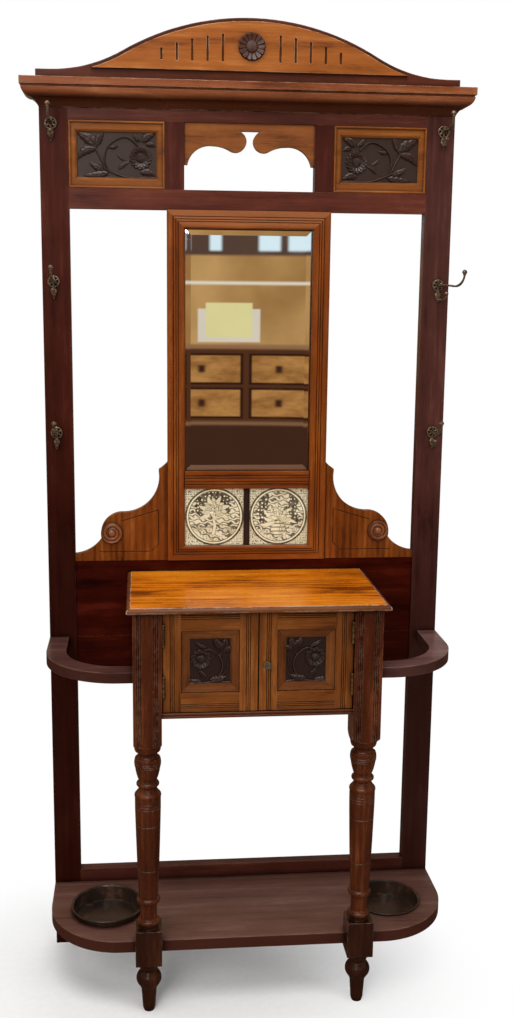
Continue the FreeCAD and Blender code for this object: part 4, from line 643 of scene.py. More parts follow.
def leaf_rise(u, v, root, tip, half, curl, rise, lobes):
    """Leaf from root to tip: its half width is the sine of the way along, waved by lobes, and its middle
    line bows by curl.  It is domed across, cut by a midrib and by slanting side veins."""
    root, tip = np.asarray(root, float), np.asarray(tip, float)
    axis = tip - root
    reach = math.hypot(*axis)
    axis /= reach
    a = ((u - root[0]) * axis[0] + (v - root[1]) * axis[1]) / reach
    b = -(u - root[0]) * axis[1] + (v - root[1]) * axis[0] - curl * np.sin(math.pi * np.clip(a, 0, 1))
    inside = (a > 0) & (a < 1)
    a = np.clip(a, 0, 1)
    width = half * np.sin(math.pi * a ** 0.72) ** 0.8 * (1 + 0.13 * np.cos(2 * math.pi * lobes * a))
    across = np.clip(np.abs(b) / np.maximum(width, 0.05), 0, 1)
    dome = np.sqrt(1 - across ** 2) ** 0.8
    veins = 0.5 + 0.5 * np.cos(2 * math.pi * (lobes * a - 1.1 * across))
    shape = rise * (0.25 + 0.75 * dome) * (0.72 + 0.28 * np.sin(math.pi * a))
    cut = 0.5 * np.exp(-(b / 0.55) ** 2) + 0.28 * veins ** 3 * across
    return np.where(inside & (across < 1), np.maximum(shape - rise * 0.55 * cut, 0.2), 0)


def bloom_rise(u, v, middle, reach, petals, rise):
    """Daisy like a shallow bowl: its petals rise from the centre to a rim scalloped by the cosine of the
    angle, parted by clefts, over a second row between them; the centre is a dome punched with dots."""
    du, dv = u - middle[0], v - middle[1]
    r, a = np.hypot(du, dv), np.arctan2(dv, du)
    height = np.zeros(u.shape)
    for size, share, shift in ((1.0, 0.72, 0.0), (0.84, 1.0, 0.5)):
        fold = np.abs(np.cos(petals * a / 2 + shift * math.pi))
        outline = reach * size * (0.84 + 0.16 * fold ** 0.55)
        along = np.clip(r / outline, 0, 1)
        shape = rise * share * (0.16 + 0.84 * along ** 2.2) * np.clip((1 - along) / 0.07, 0, 1) ** 0.5
        shape *= 1 - 0.62 * np.exp(-(fold / 0.26) ** 2)
        height = np.maximum(height, np.where(r < outline, shape, 0))
    heart = reach * 0.40
    dots = 0.10 * rise * np.cos(r * 3.0) * np.cos(a * np.round(np.clip(r, 1, heart) * 2.1))
    dome = rise * (0.28 + 0.62 * np.sqrt(np.clip(1 - (r / heart) ** 2, 0, 1))) + dots
    return np.where(r < heart, dome, height)


def faced_board(name, across, up, face, back):
    """A board with a worked face: each point of its front grid lies at (across, face, up); its edges
    drop to the flat back, closed by strips from foot to head."""
    x, z = np.meshgrid(across, up)
    points = np.stack([x, face, z], -1).reshape(-1, 3)
    index = np.arange(points.shape[0]).reshape(x.shape)
    ring = np.concatenate([index[0], index[1:, -1], index[-1, -2::-1], index[-2:0:-1, 0]])
    rear = points[ring].copy()
    rear[:, 1] = back
    behind = np.full(points.shape[0], -1)
    behind[ring] = points.shape[0] + np.arange(len(ring))
    quads = np.stack([index[:-1, :-1], index[:-1, 1:], index[1:, 1:], index[1:, :-1]], -1).reshape(-1, 4)
    after = np.roll(ring, -1)
    sides = np.stack([ring, behind[ring], behind[after], after], -1)
    foot, head = behind[index[0]], behind[index[-1]]
    strips = np.stack([foot[1:-2], head[1:-2], head[2:-1], foot[2:-1]], -1)
    left = np.concatenate([behind[index[:, 0]], [head[1], foot[1]]])[None]
    right = np.concatenate([behind[index[::-1, -1]], [foot[-2], head[-2]]])[None]
    return built(name, np.concatenate([points, rear]), quads, sides, strips, left, right)


def punched_ground(u, v):
    """Ground left wavy by the gouge and pricked with a pointed punch: shallow dimples on a wandering
    1.7 mm lattice over slow sines."""
    wander = np.sin(u * 0.9 + np.sin(v * 0.7) * 2) * 0.8
    swell = 0.5 * np.sin(u * 0.23 + 1.7 * np.sin(v * 0.19)) * np.sin(v * 0.27 + np.sin(u * 0.21))
    return swell - 0.5 * np.clip(np.cos(u * 3.7 + wander) * np.cos(v * 3.7 - wander), 0, 1) ** 2


def spray(u, v, width, tall, stems, leaves, bloom):
    """The highest of a design's stems, leaves and bloom.  Its points are shares of the panel's width
    from the left and of its height from the top; its other measures are millimetres."""
    def at(x, y):
        return x * width, (1 - y) * tall
    middle, *flower = bloom
    parts = [stem_rise(u, v, [at(*knot) for knot in knots], thick, rise) for knots, thick, rise in stems]
    parts += [leaf_rise(u, v, at(*root), at(*tip), *shape) for root, tip, *shape in leaves]
    return np.maximum.reduce(parts + [bloom_rise(u, v, at(*middle), *flower)])


CELL, BORDER, SUNK = 0.62, 4.5, 0.0006


def carved_panel(name, node, design, flip, rise, body):
    """A panel of a node's size whose face carries a spray in millimetres from its lower left corner,
    turned over left to right where flip says so.  The cavity value is how far a point stands above the
    mean of its surroundings; the stain paints shade where it is low and a highlight where it is high."""
    low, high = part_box(node)
    width, tall = (high.x - low.x) * 1000, (high.z - low.z) * 1000
    across = np.linspace(0, width, int(width / CELL) + 1)
    up = np.linspace(0, tall, int(tall / CELL) + 1)
    u, v = np.meshgrid(width - across if flip else across, up)
    height = np.maximum(spray(u, v, width, tall, *design) * 1.4, punched_ground(u, v) - 0.8)
    border = np.minimum(np.minimum(u, width - u), np.minimum(v, tall - v))
    height = np.where(border < BORDER, 0.0, height)
    face = low.y - np.minimum(height, rise) / 1000 + SUNK
    piece = faced_board(name, low.x + across / 1000, low.z + up / 1000, face, high.y)
    cavity = np.clip(0.46 + (height - smudged(height, 3)) * 0.42 + height * 0.02, 0, 1)
    ring = 2 * (len(across) + len(up)) - 4
    marked(piece, "cavity", np.concatenate([cavity.ravel(), np.zeros(ring)]))
    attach(piece, body)
    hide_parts(node)
    return piece


# Daisy at the outer side on a long arched stem; the main stem sweeps up from the foot and parts into
# leaves at the top, the side and the foot.
frieze_design = (
    [([(0.96, 0.95), (0.66, 0.955), (0.52, 0.90), (0.38, 0.80), (0.28, 0.70)], (4.2, 2.4), 3.6),
     ([(0.40, 0.82), (0.355, 0.62), (0.375, 0.40), (0.45, 0.24), (0.56, 0.145), (0.65, 0.16), (0.745, 0.30)],
      (2.8, 3.6), 4.2),
     ([(0.37, 0.80), (0.315, 0.60), (0.26, 0.42), (0.235, 0.30)], (3.6, 4.4), 3.4)],
    [((0.27, 0.33), (0.03, 0.07), 12.5, -4, 4.8, 4), ((0.265, 0.31), (0.345, 0.04), 8.5, 3, 4.4, 4),
     ((0.25, 0.37), (0.03, 0.60), 9.5, -8, 4.4, 5), ((0.40, 0.86), (0.10, 0.92), 8.5, 2, 4.0, 5),
     ((0.34, 0.80), (0.17, 0.64), 7.0, 3, 3.6, 4), ((0.40, 0.34), (0.52, 0.31), 4.2, -2, 3.6, 3),
     ((0.80, 0.22), (0.96, 0.06), 9.0, 3, 4.4, 4), ((0.85, 0.27), (0.965, 0.31), 6.0, 2, 3.8, 3),
     ((0.78, 0.22), (0.70, 0.05), 5.0, 2, 3.6, 3), ((0.78, 0.84), (0.96, 0.90), 8.0, 4, 3.8, 4),
     ((0.52, 0.78), (0.66, 0.62), 5.0, 2, 2.6, 4), ((0.60, 0.60), (0.50, 0.46), 3.6, 2, 2.2, 3)],
    ((0.785, 0.555), 27, 15, 5.2))
carving_stain_and_painted_light = stained("frieze_carving_stain", (0.0022, 0.0010, 0.0007, 1), (0.023, 0.0105, 0.0075, 1),
                        (0.060, 0.031, 0.023, 1))
for word, flip in (("left", False), ("right", True)):
    panel = carved_panel(word + "_daisy_panel", word + "_frieze_carving", frieze_design, flip, 7.4, "root")
    panel.data.materials.append(carving_stain_and_painted_light)
GOLD = (0.045, 0.0105, 0.0020, 1), (0.195, 0.057, 0.0090, 1), (0.42, 0.150, 0.032, 1)
clad(mahogany("frieze_moulding_mahogany", *GOLD, grain="across", pith=(-2.0, 0.05), mottle=0.7,
              worn=0.4, nook=0.8), "frieze_mouldings")

# ------------------------------------------------------------
# Apron: a fretted board between the muntins, with two lobes and a keyhole notch, of golden wood.
# ------------------------------------------------------------
APRON = (0.050, 0.013, 0.0038, 1), (0.215, 0.066, 0.0165, 1), (0.36, 0.13, 0.036, 1)
clad(mahogany("apron_mahogany", *APRON, grain="across", pith=(-2.05, 0.06), rings=30, mottle=0.9,
              ring_share=0.4, worn=0.45), "apron")

# ------------------------------------------------------------
# Mirror frame: reeded members of golden mahogany, mitred at the corners, with a reeded transom over
# the tiles.  The reeds are darkened, painted shade with old polish, and the top rail's upper strip is
# paler, a painted highlight.
# ------------------------------------------------------------
FRAME = (0.036, 0.0066, 0.0008, 1), (0.170, 0.037, 0.0036, 1), (0.40, 0.125, 0.020, 1)
clad(mahogany("mirror_stile_mahogany", *FRAME, pith=(0.0, 0.03), rings=34, mottle=0.8, radius=0.0009,
              worn=0.45, nook=0.95), "mirror_stiles")
clad(mahogany("mirror_rail_mahogany", *FRAME, grain="across", pith=(-1.2, 0.03), rings=34, mottle=0.8,
              radius=0.0009, worn=0.45, nook=0.95, lip=(1.87, 1.885, (0.33, 0.120, 0.045, 1), 0.55)),
     "mirror_rails", "mirror_transom")

# ------------------------------------------------------------
# Looking glass: silvered plate with a ground bevel all round; the silver has gone specky near the
# edges and the glass is faintly grey.
# ------------------------------------------------------------
low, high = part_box("mirror_glass")
material, tree, shader, place = finish("silvered_glass")
parts = add(tree, "SeparateXYZ", {0: place}).outputs
side = sums(tree, "SUBTRACT", high.x, sums(tree, "ABSOLUTE", parts["X"]))
rise = sums(tree, "ABSOLUTE", sums(tree, "SUBTRACT", parts["Z"], (low.z + high.z) / 2))
rise = sums(tree, "SUBTRACT", (high.z - low.z) / 2, rise)
inset = sums(tree, "MINIMUM", side, rise)
near = eased(tree, inset, 0.045, 0.006)
specks = eased(tree, cloudy(tree, place, 320, 4, 0.7), 0.62, 0.72)
haze = eased(tree, cloudy(tree, place, 14, 4, 0.6), 0.35, 0.75)
spoiled = sums(tree, "MULTIPLY", near, sums(tree, "MULTIPLY", specks, haze))
clear = blended(tree, haze, (0.86, 0.885, 0.88, 1), (0.90, 0.915, 0.905, 1))
wired(tree, shader.inputs, base_color=blended(tree, spoiled, clear, (0.16, 0.13, 0.10, 1)),
      roughness=sums(tree, "MULTIPLY_ADD", spoiled, 0.4, sums(tree, "MULTIPLY", haze, 0.02)))
shader.inputs["Metallic"].default_value = 1.0
clad(material, "mirror_glass")

# ------------------------------------------------------------
# Backboards of the mirror and tiles: thin pine, planed and left unpolished, dull, and dark in the
# corners with painted shade.
# ------------------------------------------------------------
def pine(name, dark, light, grain):
    """Bare pine: the timber figure in pale tones, dull all over, darker in the nooks with painted shade."""
    material, tree, shader, place = finish(name)
    middle = [(d + l) / 2 for d, l in zip(dark, light)]
    figure = placed(tree, timber, position=grained(tree, place, grain), dark=dark, middle=middle, light=light,
                    rings=30.0, waver=5.0, mottle=0.5, ring_share=0.6)
    edge = placed(tree, edges, position=place, radius=0.001, breaks=60.0)
    colour = blended(tree, sums(tree, "MULTIPLY", edge["Nook"], 0.7), figure["Color"], dark, "MULTIPLY")
    wired(tree, shader.inputs, base_color=colour,
          roughness=eased(tree, figure["Height"], -0.5, 0.3, 0.9, 0.7),
          normal=bumped(tree, figure["Height"], 0.0003, 0.6, edge["Normal"]))
    return material


clad(pine("backboard_pine", (0.15, 0.085, 0.045, 1), (0.36, 0.24, 0.14, 1), "up"), "frame_backboards")

# ------------------------------------------------------------
# Tiles: two square glazed tiles, cream with a brown transfer print.  Each print is a made-up roundel,
# a leafy tree on the left and an urn of ferns on the right, ringed, on speckled corners.
# ------------------------------------------------------------
def sown(u, v, cell, seed):
    """Scattered dots: each square cell of the tile holds one dot whose place and size come from sines
    of the cell's own number; the value is how far inside its dot a point lies."""
    column, line = np.floor(u / cell), np.floor(v / cell)
    one = np.abs(np.sin(column * 12.9898 + line * 78.233 + seed) * 43758.5453) % 1
    two = np.abs(np.sin(column * 39.346 + line * 11.135 + seed * 1.7) * 24634.6345) % 1
    gap = np.hypot(u / cell - column - 0.3 - 0.4 * one, v / cell - line - 0.3 - 0.4 * two)
    return np.clip((0.18 + 0.2 * one * two - gap) / 0.08, 0, 1)


def hatched(u, v, slope, pitch, share):
    """Engraver's lines: strokes a pitch apart across a slope, wandering a little, darker with share."""
    way = u * np.cos(slope) + v * np.sin(slope)
    wander = 0.25 * np.sin(u * 0.31 + v * 0.17) + 0.2 * np.sin(u * 0.13 - v * 0.41)
    return np.clip((share - np.abs((way / pitch + wander) % 1 - 0.5) * 2) / 0.3 + 0.5, 0, 1)


def leaf_print(u, v, root, tip, half, curl, fill):
    """A printed leaf: a blade filled more or less darkly, with a dark outline, midrib and side veins."""
    blade = leaf_rise(u, v, root, tip, half, curl, 1.0, 4)
    body = blade > 0
    outline = body & (smudged(body.astype(float), 2) < 0.80)
    cut = np.clip((0.56 - blade) * 2.6, 0, 1)
    return body, np.clip(np.where(outline, 1.0, fill * 0.6 + 0.7 * cut), 0, 1)


SCENE_RIM, LINE_RIM, PALE_RIM, DARK_RIM = 64.4, 66.4, 70.0, 74.6


def roundel_print(u, v, leaves, stems, dark_sky, urn):
    """Ink from 0 to 1 over a tile.  Outside the rings: speckle; in them: a hatched sky, dark with pale
    spots where dark_sky says, hatched ground below, then stems, an urn and leaves, each covering what
    lies behind it."""
    r = np.hypot(u, v)
    ink = np.maximum(0.16, np.maximum(sown(u, v, 6.8, 2.0), sown(u + 2.3, v + 1.7, 5.6, 9.0)))
    dark = dark_sky(u, v)
    sky = np.where(dark, 1.0, 0.10 + 0.85 * hatched(u, v, 1.45, 9.0, 0.40))
    sky = np.where(dark & (sown(u, v, 9.5, 5.0) > 0.5), 0.05, sky)
    waves = hatched(u, v, 1.25 + 0.004 * u, 9.5, 0.52)
    ground = 0.12 + 0.85 * waves * (np.sin(u * 0.12 + v * 0.2) > -0.55)
    ground = np.maximum(ground, 0.9 * sown(u, v * 1.6, 8.0, 7.0))
    above = v + 24 - 3 * np.sin(u * 0.09)
    inner = np.where(above < 0, ground, sky)
    inner = np.where(np.abs(above) < 1.1, 0.95, inner)
    for knots, thick in stems:
        trunk = stem_rise(u, v, knots, thick, 1.0)
        inner = np.where(trunk > 0, 0.10 + 0.88 * (trunk < 0.6), inner)
    if urn:
        neck = 12 + 8 * np.sin((v + 52) * 0.085) - 4 * np.exp(-((v + 46) / 4) ** 2)
        body = (v > -54) & (v < -14) & (np.abs(u) < neck)
        bands = (np.abs((v + 54) % 10 - 5) < 1.3) | (np.abs(np.abs(u) - neck) < 1.6)
        shade = 0.03 + 0.85 * hatched(u, v, 0.1, 4.2, 0.30) * (u > 1)
        inner = np.where(body, np.where(bands, 0.9, shade), inner)
    for root, tip, half, curl, fill in leaves:
        body, shade = leaf_print(u, v, root, tip, half, curl, fill)
        inner = np.where(body, shade, inner)
    for rim, tone in ((DARK_RIM, 1.0), (PALE_RIM, 0.0), (LINE_RIM, 0.95)):
        ink = np.where(r < rim, tone, ink)
    return np.where(r <= SCENE_RIM, inner, ink)


def fan_of(middle, count, start, stop, near, far, half, curl, fill):
    """Leaves set round a middle from one angle to another, alternately long and short."""
    angles = np.linspace(start, stop, count)
    reach = np.where(np.arange(count) % 2, far * 0.78, far)
    return [((middle[0] + near * math.cos(a), middle[1] + near * math.sin(a)),
             (middle[0] + r * math.cos(a), middle[1] + r * math.sin(a)), half, curl, fill)
            for a, r in zip(angles, reach)]


# Each fan: its middle, count, first and last angle, root and tip radius, half width, curl and fill.
tree_fans = (((0, 14), 11, -0.5, 3.6, 10, 44, 6.5, 2, 0.28), ((-2, 12), 9, -0.2, 3.3, 4, 29, 6, -2, 0.5),
             ((2, 10), 7, 0.1, 3.0, 2, 16, 5, 1, 0.12), ((-38, -38), 5, 0.6, 2.6, 3, 19, 4, 1, 0.5),
             ((36, -40), 5, 0.5, 2.5, 3, 17, 4, -1, 0.4))
tree_stems = [([(-3, -44), (1, -24), (-2, -4), (3, 16)], (10, 5)), ([(0, -6), (14, 10), (26, 18)], (5, 2.5)),
              ([(-1, -2), (-14, 12), (-27, 22)], (5, 2.5)), ([(0, 0), (2, 24), (-4, 42)], (4, 2))]
fern_fans = (((0, -12), 9, -0.15, 3.3, 6, 52, 6, 5, 0.12), ((0, -10), 8, 0.2, 2.95, 4, 36, 5.5, -4, 0.28),
             ((0, -8), 5, 0.5, 2.6, 2, 22, 5, 2, 0.06), ((-44, -44), 4, 0.3, 1.9, 3, 18, 3.6, 1, 0.25),
             ((42, -44), 4, 1.2, 2.8, 3, 18, 3.6, 1, 0.25))
fern_stems = [([(-58, -22), (-36, -27), (-16, -24)], (2.5, 1.5)),
              ([(58, -20), (38, -26), (18, -24)], (2.5, 1.5))]


def wood_edge(u, v):
    """Dark thicket behind the tree: the upper half, between ragged sides."""
    return (v > 4 + 4 * np.sin(u * 0.23)) & (np.abs(u + 4) < 44 + 3 * np.sin(v * 0.5))


def two_trunks(u, v):
    """Dark uprights at both sides behind the urn."""
    return (v > -22) & (np.abs(np.abs(u + 3 * np.sin(v * 0.1)) - 38) < 12 + 2 * np.sin(v * 0.4))


material, tree, shader, place = finish("printed_glaze")
ink = add(tree, "Attribute", attribute_name="ink").outputs["Fac"]
body = cloudy(tree, place, 25, 3)
cream = blended(tree, eased(tree, body, 0.3, 0.7), (0.78, 0.70, 0.455, 1), (0.87, 0.81, 0.575, 1))
faded = eased(tree, cloudy(tree, place, 160, 3, 0.6), 0.25, 0.75, 0.8, 1.0)
print_tone = blended(tree, eased(tree, body, 0.35, 0.65), (0.010, 0.006, 0.004, 1),
                     (0.026, 0.016, 0.009, 1))
colour = blended(tree, sums(tree, "MULTIPLY", ink, faded), cream, print_tone)
crazing = add(tree, "TexVoronoi", {"Vector": place, "Scale": 190.0}, feature="DISTANCE_TO_EDGE").outputs[0]
crazing = eased(tree, crazing, 0.0, 0.035, 1.0, 0.0)
colour = blended(tree, sums(tree, "MULTIPLY", crazing, 0.22), colour, (0.25, 0.17, 0.09, 1))
shader.inputs["Specular IOR Level"].default_value = 0.5
pool = sums(tree, "MULTIPLY_ADD", crazing, -0.15, cloudy(tree, place, 45, 2))
wired(tree, shader.inputs, base_color=colour, roughness=eased(tree, body, 0.3, 0.7, 0.10, 0.2),
      normal=bumped(tree, pool, 0.0006, 0.35))
TILE_POINTS, EDGE_DROP, EDGE_WIDTH = 221, 0.0012, 2.0
for word, fans, stems, dark_part, urn in (("left", tree_fans, tree_stems, wood_edge, False),
                                          ("right", fern_fans, fern_stems, two_trunks, True)):
    low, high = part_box(word + "_tile")
    across = np.linspace(low.x, high.x, TILE_POINTS)
    up = np.linspace(low.z, high.z, TILE_POINTS)
    x, z = np.meshgrid(across, up)
    u, v = (x - (low.x + high.x) / 2) * 1000, (z - (low.z + high.z) / 2) * 1000
    border = np.minimum(np.minimum(x - low.x, high.x - x), np.minimum(z - low.z, high.z - z)) * 1000
    face = low.y + EDGE_DROP * np.clip(1 - border / EDGE_WIDTH, 0, 1) ** 2
    tile = faced_board(word + "_printed_tile", across, up, face, high.y)
    leaves = [leaf for fan in fans for leaf in fan_of(*fan)]
    ink = roundel_print(u, v, leaves, stems, dark_part, urn)
    marked(tile, "ink", np.concatenate([ink.ravel(), np.zeros(4 * (TILE_POINTS - 1))]))
    tile.data.materials.append(material)
    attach(tile, "root")
    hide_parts(word + "_tile")
clad(mahogany("divider_mahogany", (0.010, 0.005, 0.004, 1), (0.022, 0.011, 0.008, 1),
              (0.05, 0.028, 0.02, 1), radius=0.0008, worn=0.2), "tile_divider")

# ------------------------------------------------------------
# Brackets: golden boards fretted to a swept shoulder, with shallow lines cut in the face, standing on
# the back board at each side of the mirror.
# ------------------------------------------------------------
BRACKET = (0.036, 0.0070, 0.0010, 1), (0.150, 0.034, 0.0036, 1), (0.31, 0.090, 0.014, 1)
clad(mahogany("bracket_mahogany", *BRACKET, pith=(0.02, 0.07), rings=26, waver=8, mottle=1.1,
              ring_share=0.35, worn=0.55, nook=0.95, bright=0.22, dull=0.42, film=0.18), "left_bracket",
     "right_bracket")

# ------------------------------------------------------------
# Scroll bosses: turned and carved roundels on the brackets; a rounded ridge winds in about two turns
# to a domed eye.
# ------------------------------------------------------------
def scroll_rise(turn):
    """Spiral relief wound one way or the other: the ridge's height is a rounded wave in the radius over
    the pitch less the angle over a full turn; inside it stands a dome."""
    def rise(r, a):
        r = r * 1000
        phase = (r - 8.2) / 9.4 - ((a * turn) / (2 * math.pi)) % 1
        ridge = 3.2 + 3.0 * np.sqrt(np.abs(np.sin(math.pi * np.clip(phase % 1, 0.02, 0.98))))
        rim = np.clip((27.2 - r) / 2.2, 0, 1) ** 0.5
        dome = 3.6 + 5.0 * np.sqrt(np.clip(1 - (r / 9.2) ** 2, 0, 1))
        return np.where(r < 8.9, dome, ridge * rim * np.where(r < 10, 0.72, 1)) / 1000
    return rise


def scroll_cavity(turn):
    """Ridge tops light, a painted highlight, and grooves dark, painted shade: the height of the relief
    brought between 0 and 1.
    """
    def cavity(r, a):
        return np.clip(scroll_rise(turn)(r, a) * 150 - 0.1, 0, 1)
    return cavity


low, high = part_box("scroll_bosses")
BOSS_RADIUS = 0.027
bosses = []
for side in (-1, 1):
    middle = ((high.x - BOSS_RADIUS) * side, high.y, (low.z + high.z) / 2)
    bosses.append(turned_face("boss_half", middle, np.linspace(0, 26.9, 70) / 1000, 220,
                              scroll_rise(side), scroll_cavity(side), high.y))
with bpy.context.temp_override(active_object=bosses[0], object=bosses[0], selected_objects=bosses,
                               selected_editable_objects=bosses):
    bpy.ops.object.join()
bosses[0].name = "carved_scroll_bosses"
bosses[0].data.materials.append(stained("scroll_stain_and_painted_light", (0.012, 0.003, 0.0012, 1), (0.085, 0.021, 0.0062, 1),
                                        (0.22, 0.070, 0.022, 1)))
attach(bosses[0], "root")
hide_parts("scroll_bosses")

# ------------------------------------------------------------
# Coat hooks: six brass castings, each with a pierced ring plate and a leaf-shaped tail, a long twin
# arm that turns up to an acorn, and a short arm with a ball; brown with age, bright where coats rub.
# ------------------------------------------------------------
def drawn_rod(path, radii, across, flat, sides):
    """A rod drawn along a line in one plane: each ring is the line's point plus its radius times the
    cosine along across and flat times the sine along across crossed with the way of travel; a point
    closes each end.  Gives points, quads and end triangles."""
    path, across = np.asarray(path, float), np.asarray(across, float)
    travel = np.gradient(path, axis=0)
    travel /= np.linalg.norm(travel, axis=1, keepdims=True)
    aside = np.cross(across, travel)
    angle = np.arange(sides) * 2 * math.pi / sides
    spokes = (np.cos(angle)[None, :, None] * across + flat * np.sin(angle)[None, :, None] * aside[:, None])
    rings = path[1:-1, None] + np.asarray(radii)[1:-1, None, None] * spokes[1:-1]
    return capped(path[0], rings, path[-1])


def cast_ring(radius, half_width, half_depth, around):
    """A flattened ring facing the front: section offsets are half width times a cosine across and half
    depth times a sine through it."""
    about = 10
    u, v = np.meshgrid(np.arange(around) * 2 * math.pi / around, np.arange(about) * 2 * math.pi / about,
                       indexing="ij")
    out = radius + half_width * np.cos(v)
    points = np.stack([out * np.cos(u), half_depth * np.sin(v), out * np.sin(u)], -1).reshape(-1, 3)
    index = np.arange(around * about).reshape(around, about)
    beyond, after = np.roll(index, -1, 0), np.roll(index, -1, 1)
    skew = np.roll(beyond, -1, 1)
    return points, np.stack([index, beyond, skew, after], -1).reshape(-1, 4), np.zeros((0, 3), int)


def hook_casting(turn):
    """All rods and rings of one hook about the middle of its plate, in metres; its arms are turned
    sideways by an angle."""
    side_way = (1.0, 0, 0)
    pieces = [cast_ring(0.0128, 0.0021, 0.0016, 44), cast_ring(0.0045, 0.0022, 0.0019, 28)]
    # Six spokes of the ring plate, from the inner ring to the outer.
    t = np.linspace(0, 1, 9)
    start, stop = 0.0035, 0.0132
    for number in range(6):
        a = number * math.pi / 3 + math.pi / 6
        line = (start + (stop - start) * t[:, None]) * np.array([[math.cos(a), 0, math.sin(a)]])
        pieces.append(drawn_rod(line, 0.0013 + 0.0009 * np.sin(math.pi * t), (0, 1.0, 0), 1.0, 8))
    # Leaf-shaped tail below the plate.
    t = np.linspace(0, 1, 40)
    tail = np.stack([t * 0, t * 0, -0.012 - 0.0295 * t], -1)
    blade = 0.0016 + 0.0052 * np.sin(math.pi * t ** 0.8) ** 1.3 * (1 - 0.2 * np.cos(9 * t))
    pieces.append(drawn_rod(tail, blade, side_way, 0.30, 16))
    # Long arm: two strands that part and meet, then turn up to an acorn.
    arms = []
    for strand in (-1, 1):
        t = np.linspace(0, 1, 60)
        bend = np.clip((t - 0.58) / 0.42, 0, 1) * math.pi / 2 * 0.98
        straight = np.clip(t / 0.58, 0, 1)
        y = -0.001 - 0.054 * straight - 0.030 * np.sin(bend)
        z = 0.0015 * np.sin(math.pi * straight) - 0.002 * straight + 0.030 * (1 - np.cos(bend))
        part = np.sin(math.pi * np.clip(t / 0.86, 0, 1)) ** 0.8
        x = strand * 0.0030 * part + strand * 0.0009
        line = np.stack([x, y, z], -1)
        arms.append(drawn_rod(line, 0.0019 + 0.0007 * (1 - t), side_way, 1.0, 10))
    t = np.linspace(0, 1, 36)
    tip = np.stack([t * 0, -0.0848 + 0 * t, 0.0235 + 0.0145 * t], -1)
    acorn = np.interp(t, [0, .04, .10, .22, .30, .34, .40, .55, .75, .9, .97, 1],
                      [.0008, .0030, .0040, .0042, .0034, .0042, .0060, .0063, .0056, .0036, .0018, 0])
    arms.append(drawn_rod(tip, acorn, side_way, 1.0, 18))
    # Short arm from the tail, with a ball.
    t = np.linspace(0, 1, 40)
    bend = np.clip((t - 0.45) / 0.55, 0, 1) * math.pi / 2
    y = -0.001 - 0.0155 * np.clip(t / 0.45, 0, 1) - 0.0125 * np.sin(bend)
    z = -0.0350 + 0.0125 * (1 - np.cos(bend))
    arms.append(drawn_rod(np.stack([t * 0, y, z], -1), 0.0034 - 0.0014 * t, side_way, 0.8, 12))
    t = np.linspace(0, 1, 22)
    ball = np.stack([t * 0, -0.0290 + 0 * t, -0.0248 + 0.0102 * t], -1)
    arms.append(drawn_rod(ball, 0.0050 * np.sin(math.pi * t) ** 0.55 + 1e-5, side_way, 1.0, 16))
    spin = np.array(Matrix.Rotation(turn, 3, "Z"))
    pieces += [(points @ spin.T, quads, ends) for points, quads, ends in arms]
    return pieces


def gathered(pieces):
    """Shells put in one list of points, quads and triangles, each numbered on from those before."""
    starts = np.cumsum([0] + [len(points) for points, _, _ in pieces])
    return (np.concatenate([points for points, _, _ in pieces]),
            np.concatenate([quads + start for (_, quads, _), start in zip(pieces, starts)]),
            np.concatenate([ends + start for (_, _, ends), start in zip(pieces, starts)]))


def make_tarnish():
    """Old brass.  Bare metal shows on rubbed edges and in patches of noise, not in nooks; elsewhere a
    brown skin lies over it.  The skin is rough, the bare metal bright."""
    tree, given, out = group(
        "tarnish",
        (("Position", "Vector", None), ("Skin", "Color", (0, 0, 0, 1)), ("Metal", "Color", (0, 0, 0, 1)),
         ("Cover", "Float", 0.5), ("Radius", "Float", 0.0006)),
        (("Color", "Color"), ("Roughness", "Float"), ("Metallic", "Float"), ("Normal", "Vector")))
    edge = placed(tree, edges, position=given["Position"], radius=given["Radius"], breaks=300.0)
    patches = cloudy(tree, given["Position"], 190, 4, 0.65)
    bare = eased(tree, sums(tree, "SUBTRACT", patches, given["Cover"]), -0.12, 0.2)
    bare = sums(tree, "MAXIMUM", bare, edge["Worn"])
    bare = sums(tree, "MULTIPLY", bare, eased(tree, edge["Nook"], 0.9, 0.3))
    wired(tree, out, color=blended(tree, bare, given["Skin"], given["Metal"]), normal=edge["Normal"],
          roughness=eased(tree, bare, 0, 1, 0.55, 0.27), metallic=eased(tree, bare, 0, 1, 0.45, 1.0))
    return tree


tarnish = make_tarnish()


def brass(name, skin, metal, cover, radius=0.0006):
    """Brass with a skin of tarnish, pitted a little."""
    material, tree, shader, place = finish(name)
    old = placed(tree, tarnish, position=place, skin=skin, metal=metal, cover=cover, radius=radius)
    wired(tree, shader.inputs, base_color=old["Color"], roughness=old["Roughness"], metallic=old["Metallic"],
          normal=bumped(tree, cloudy(tree, place, 900, 3), 0.00015, 0.5, old["Normal"]))
    return material


hook_brass = brass("hook_brass", (0.045, 0.030, 0.020, 1), (0.46, 0.34, 0.22, 1), 0.5)
HOOK_X, HOOK_LEVELS, TURNED_ARM = 0.473, (2.108, 1.741, 1.374), math.radians(33)
plate_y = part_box("left_stile")[0].y - 0.0017
for word, side in (("left", -1), ("right", 1)):
    shells = []
    for number, level in enumerate(HOOK_LEVELS):
        turn = TURNED_ARM if (side, number) == (1, 1) else 0.0
        spot = np.array([HOOK_X * side, plate_y, level])
        shells += [(points + spot, quads, ends) for points, quads, ends in hook_casting(turn)]
    points, quads, ends = gathered(shells)
    hooks = built(word + "_cast_hooks", points, quads, ends, crease=60)
    hooks.data.materials.append(hook_brass)
    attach(hooks, "root")
    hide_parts(word + "_hooks")
clad(brass("screw_brass", (0.05, 0.033, 0.022, 1), (0.40, 0.30, 0.18, 1), 0.55, 0.0003), "hook_screws")

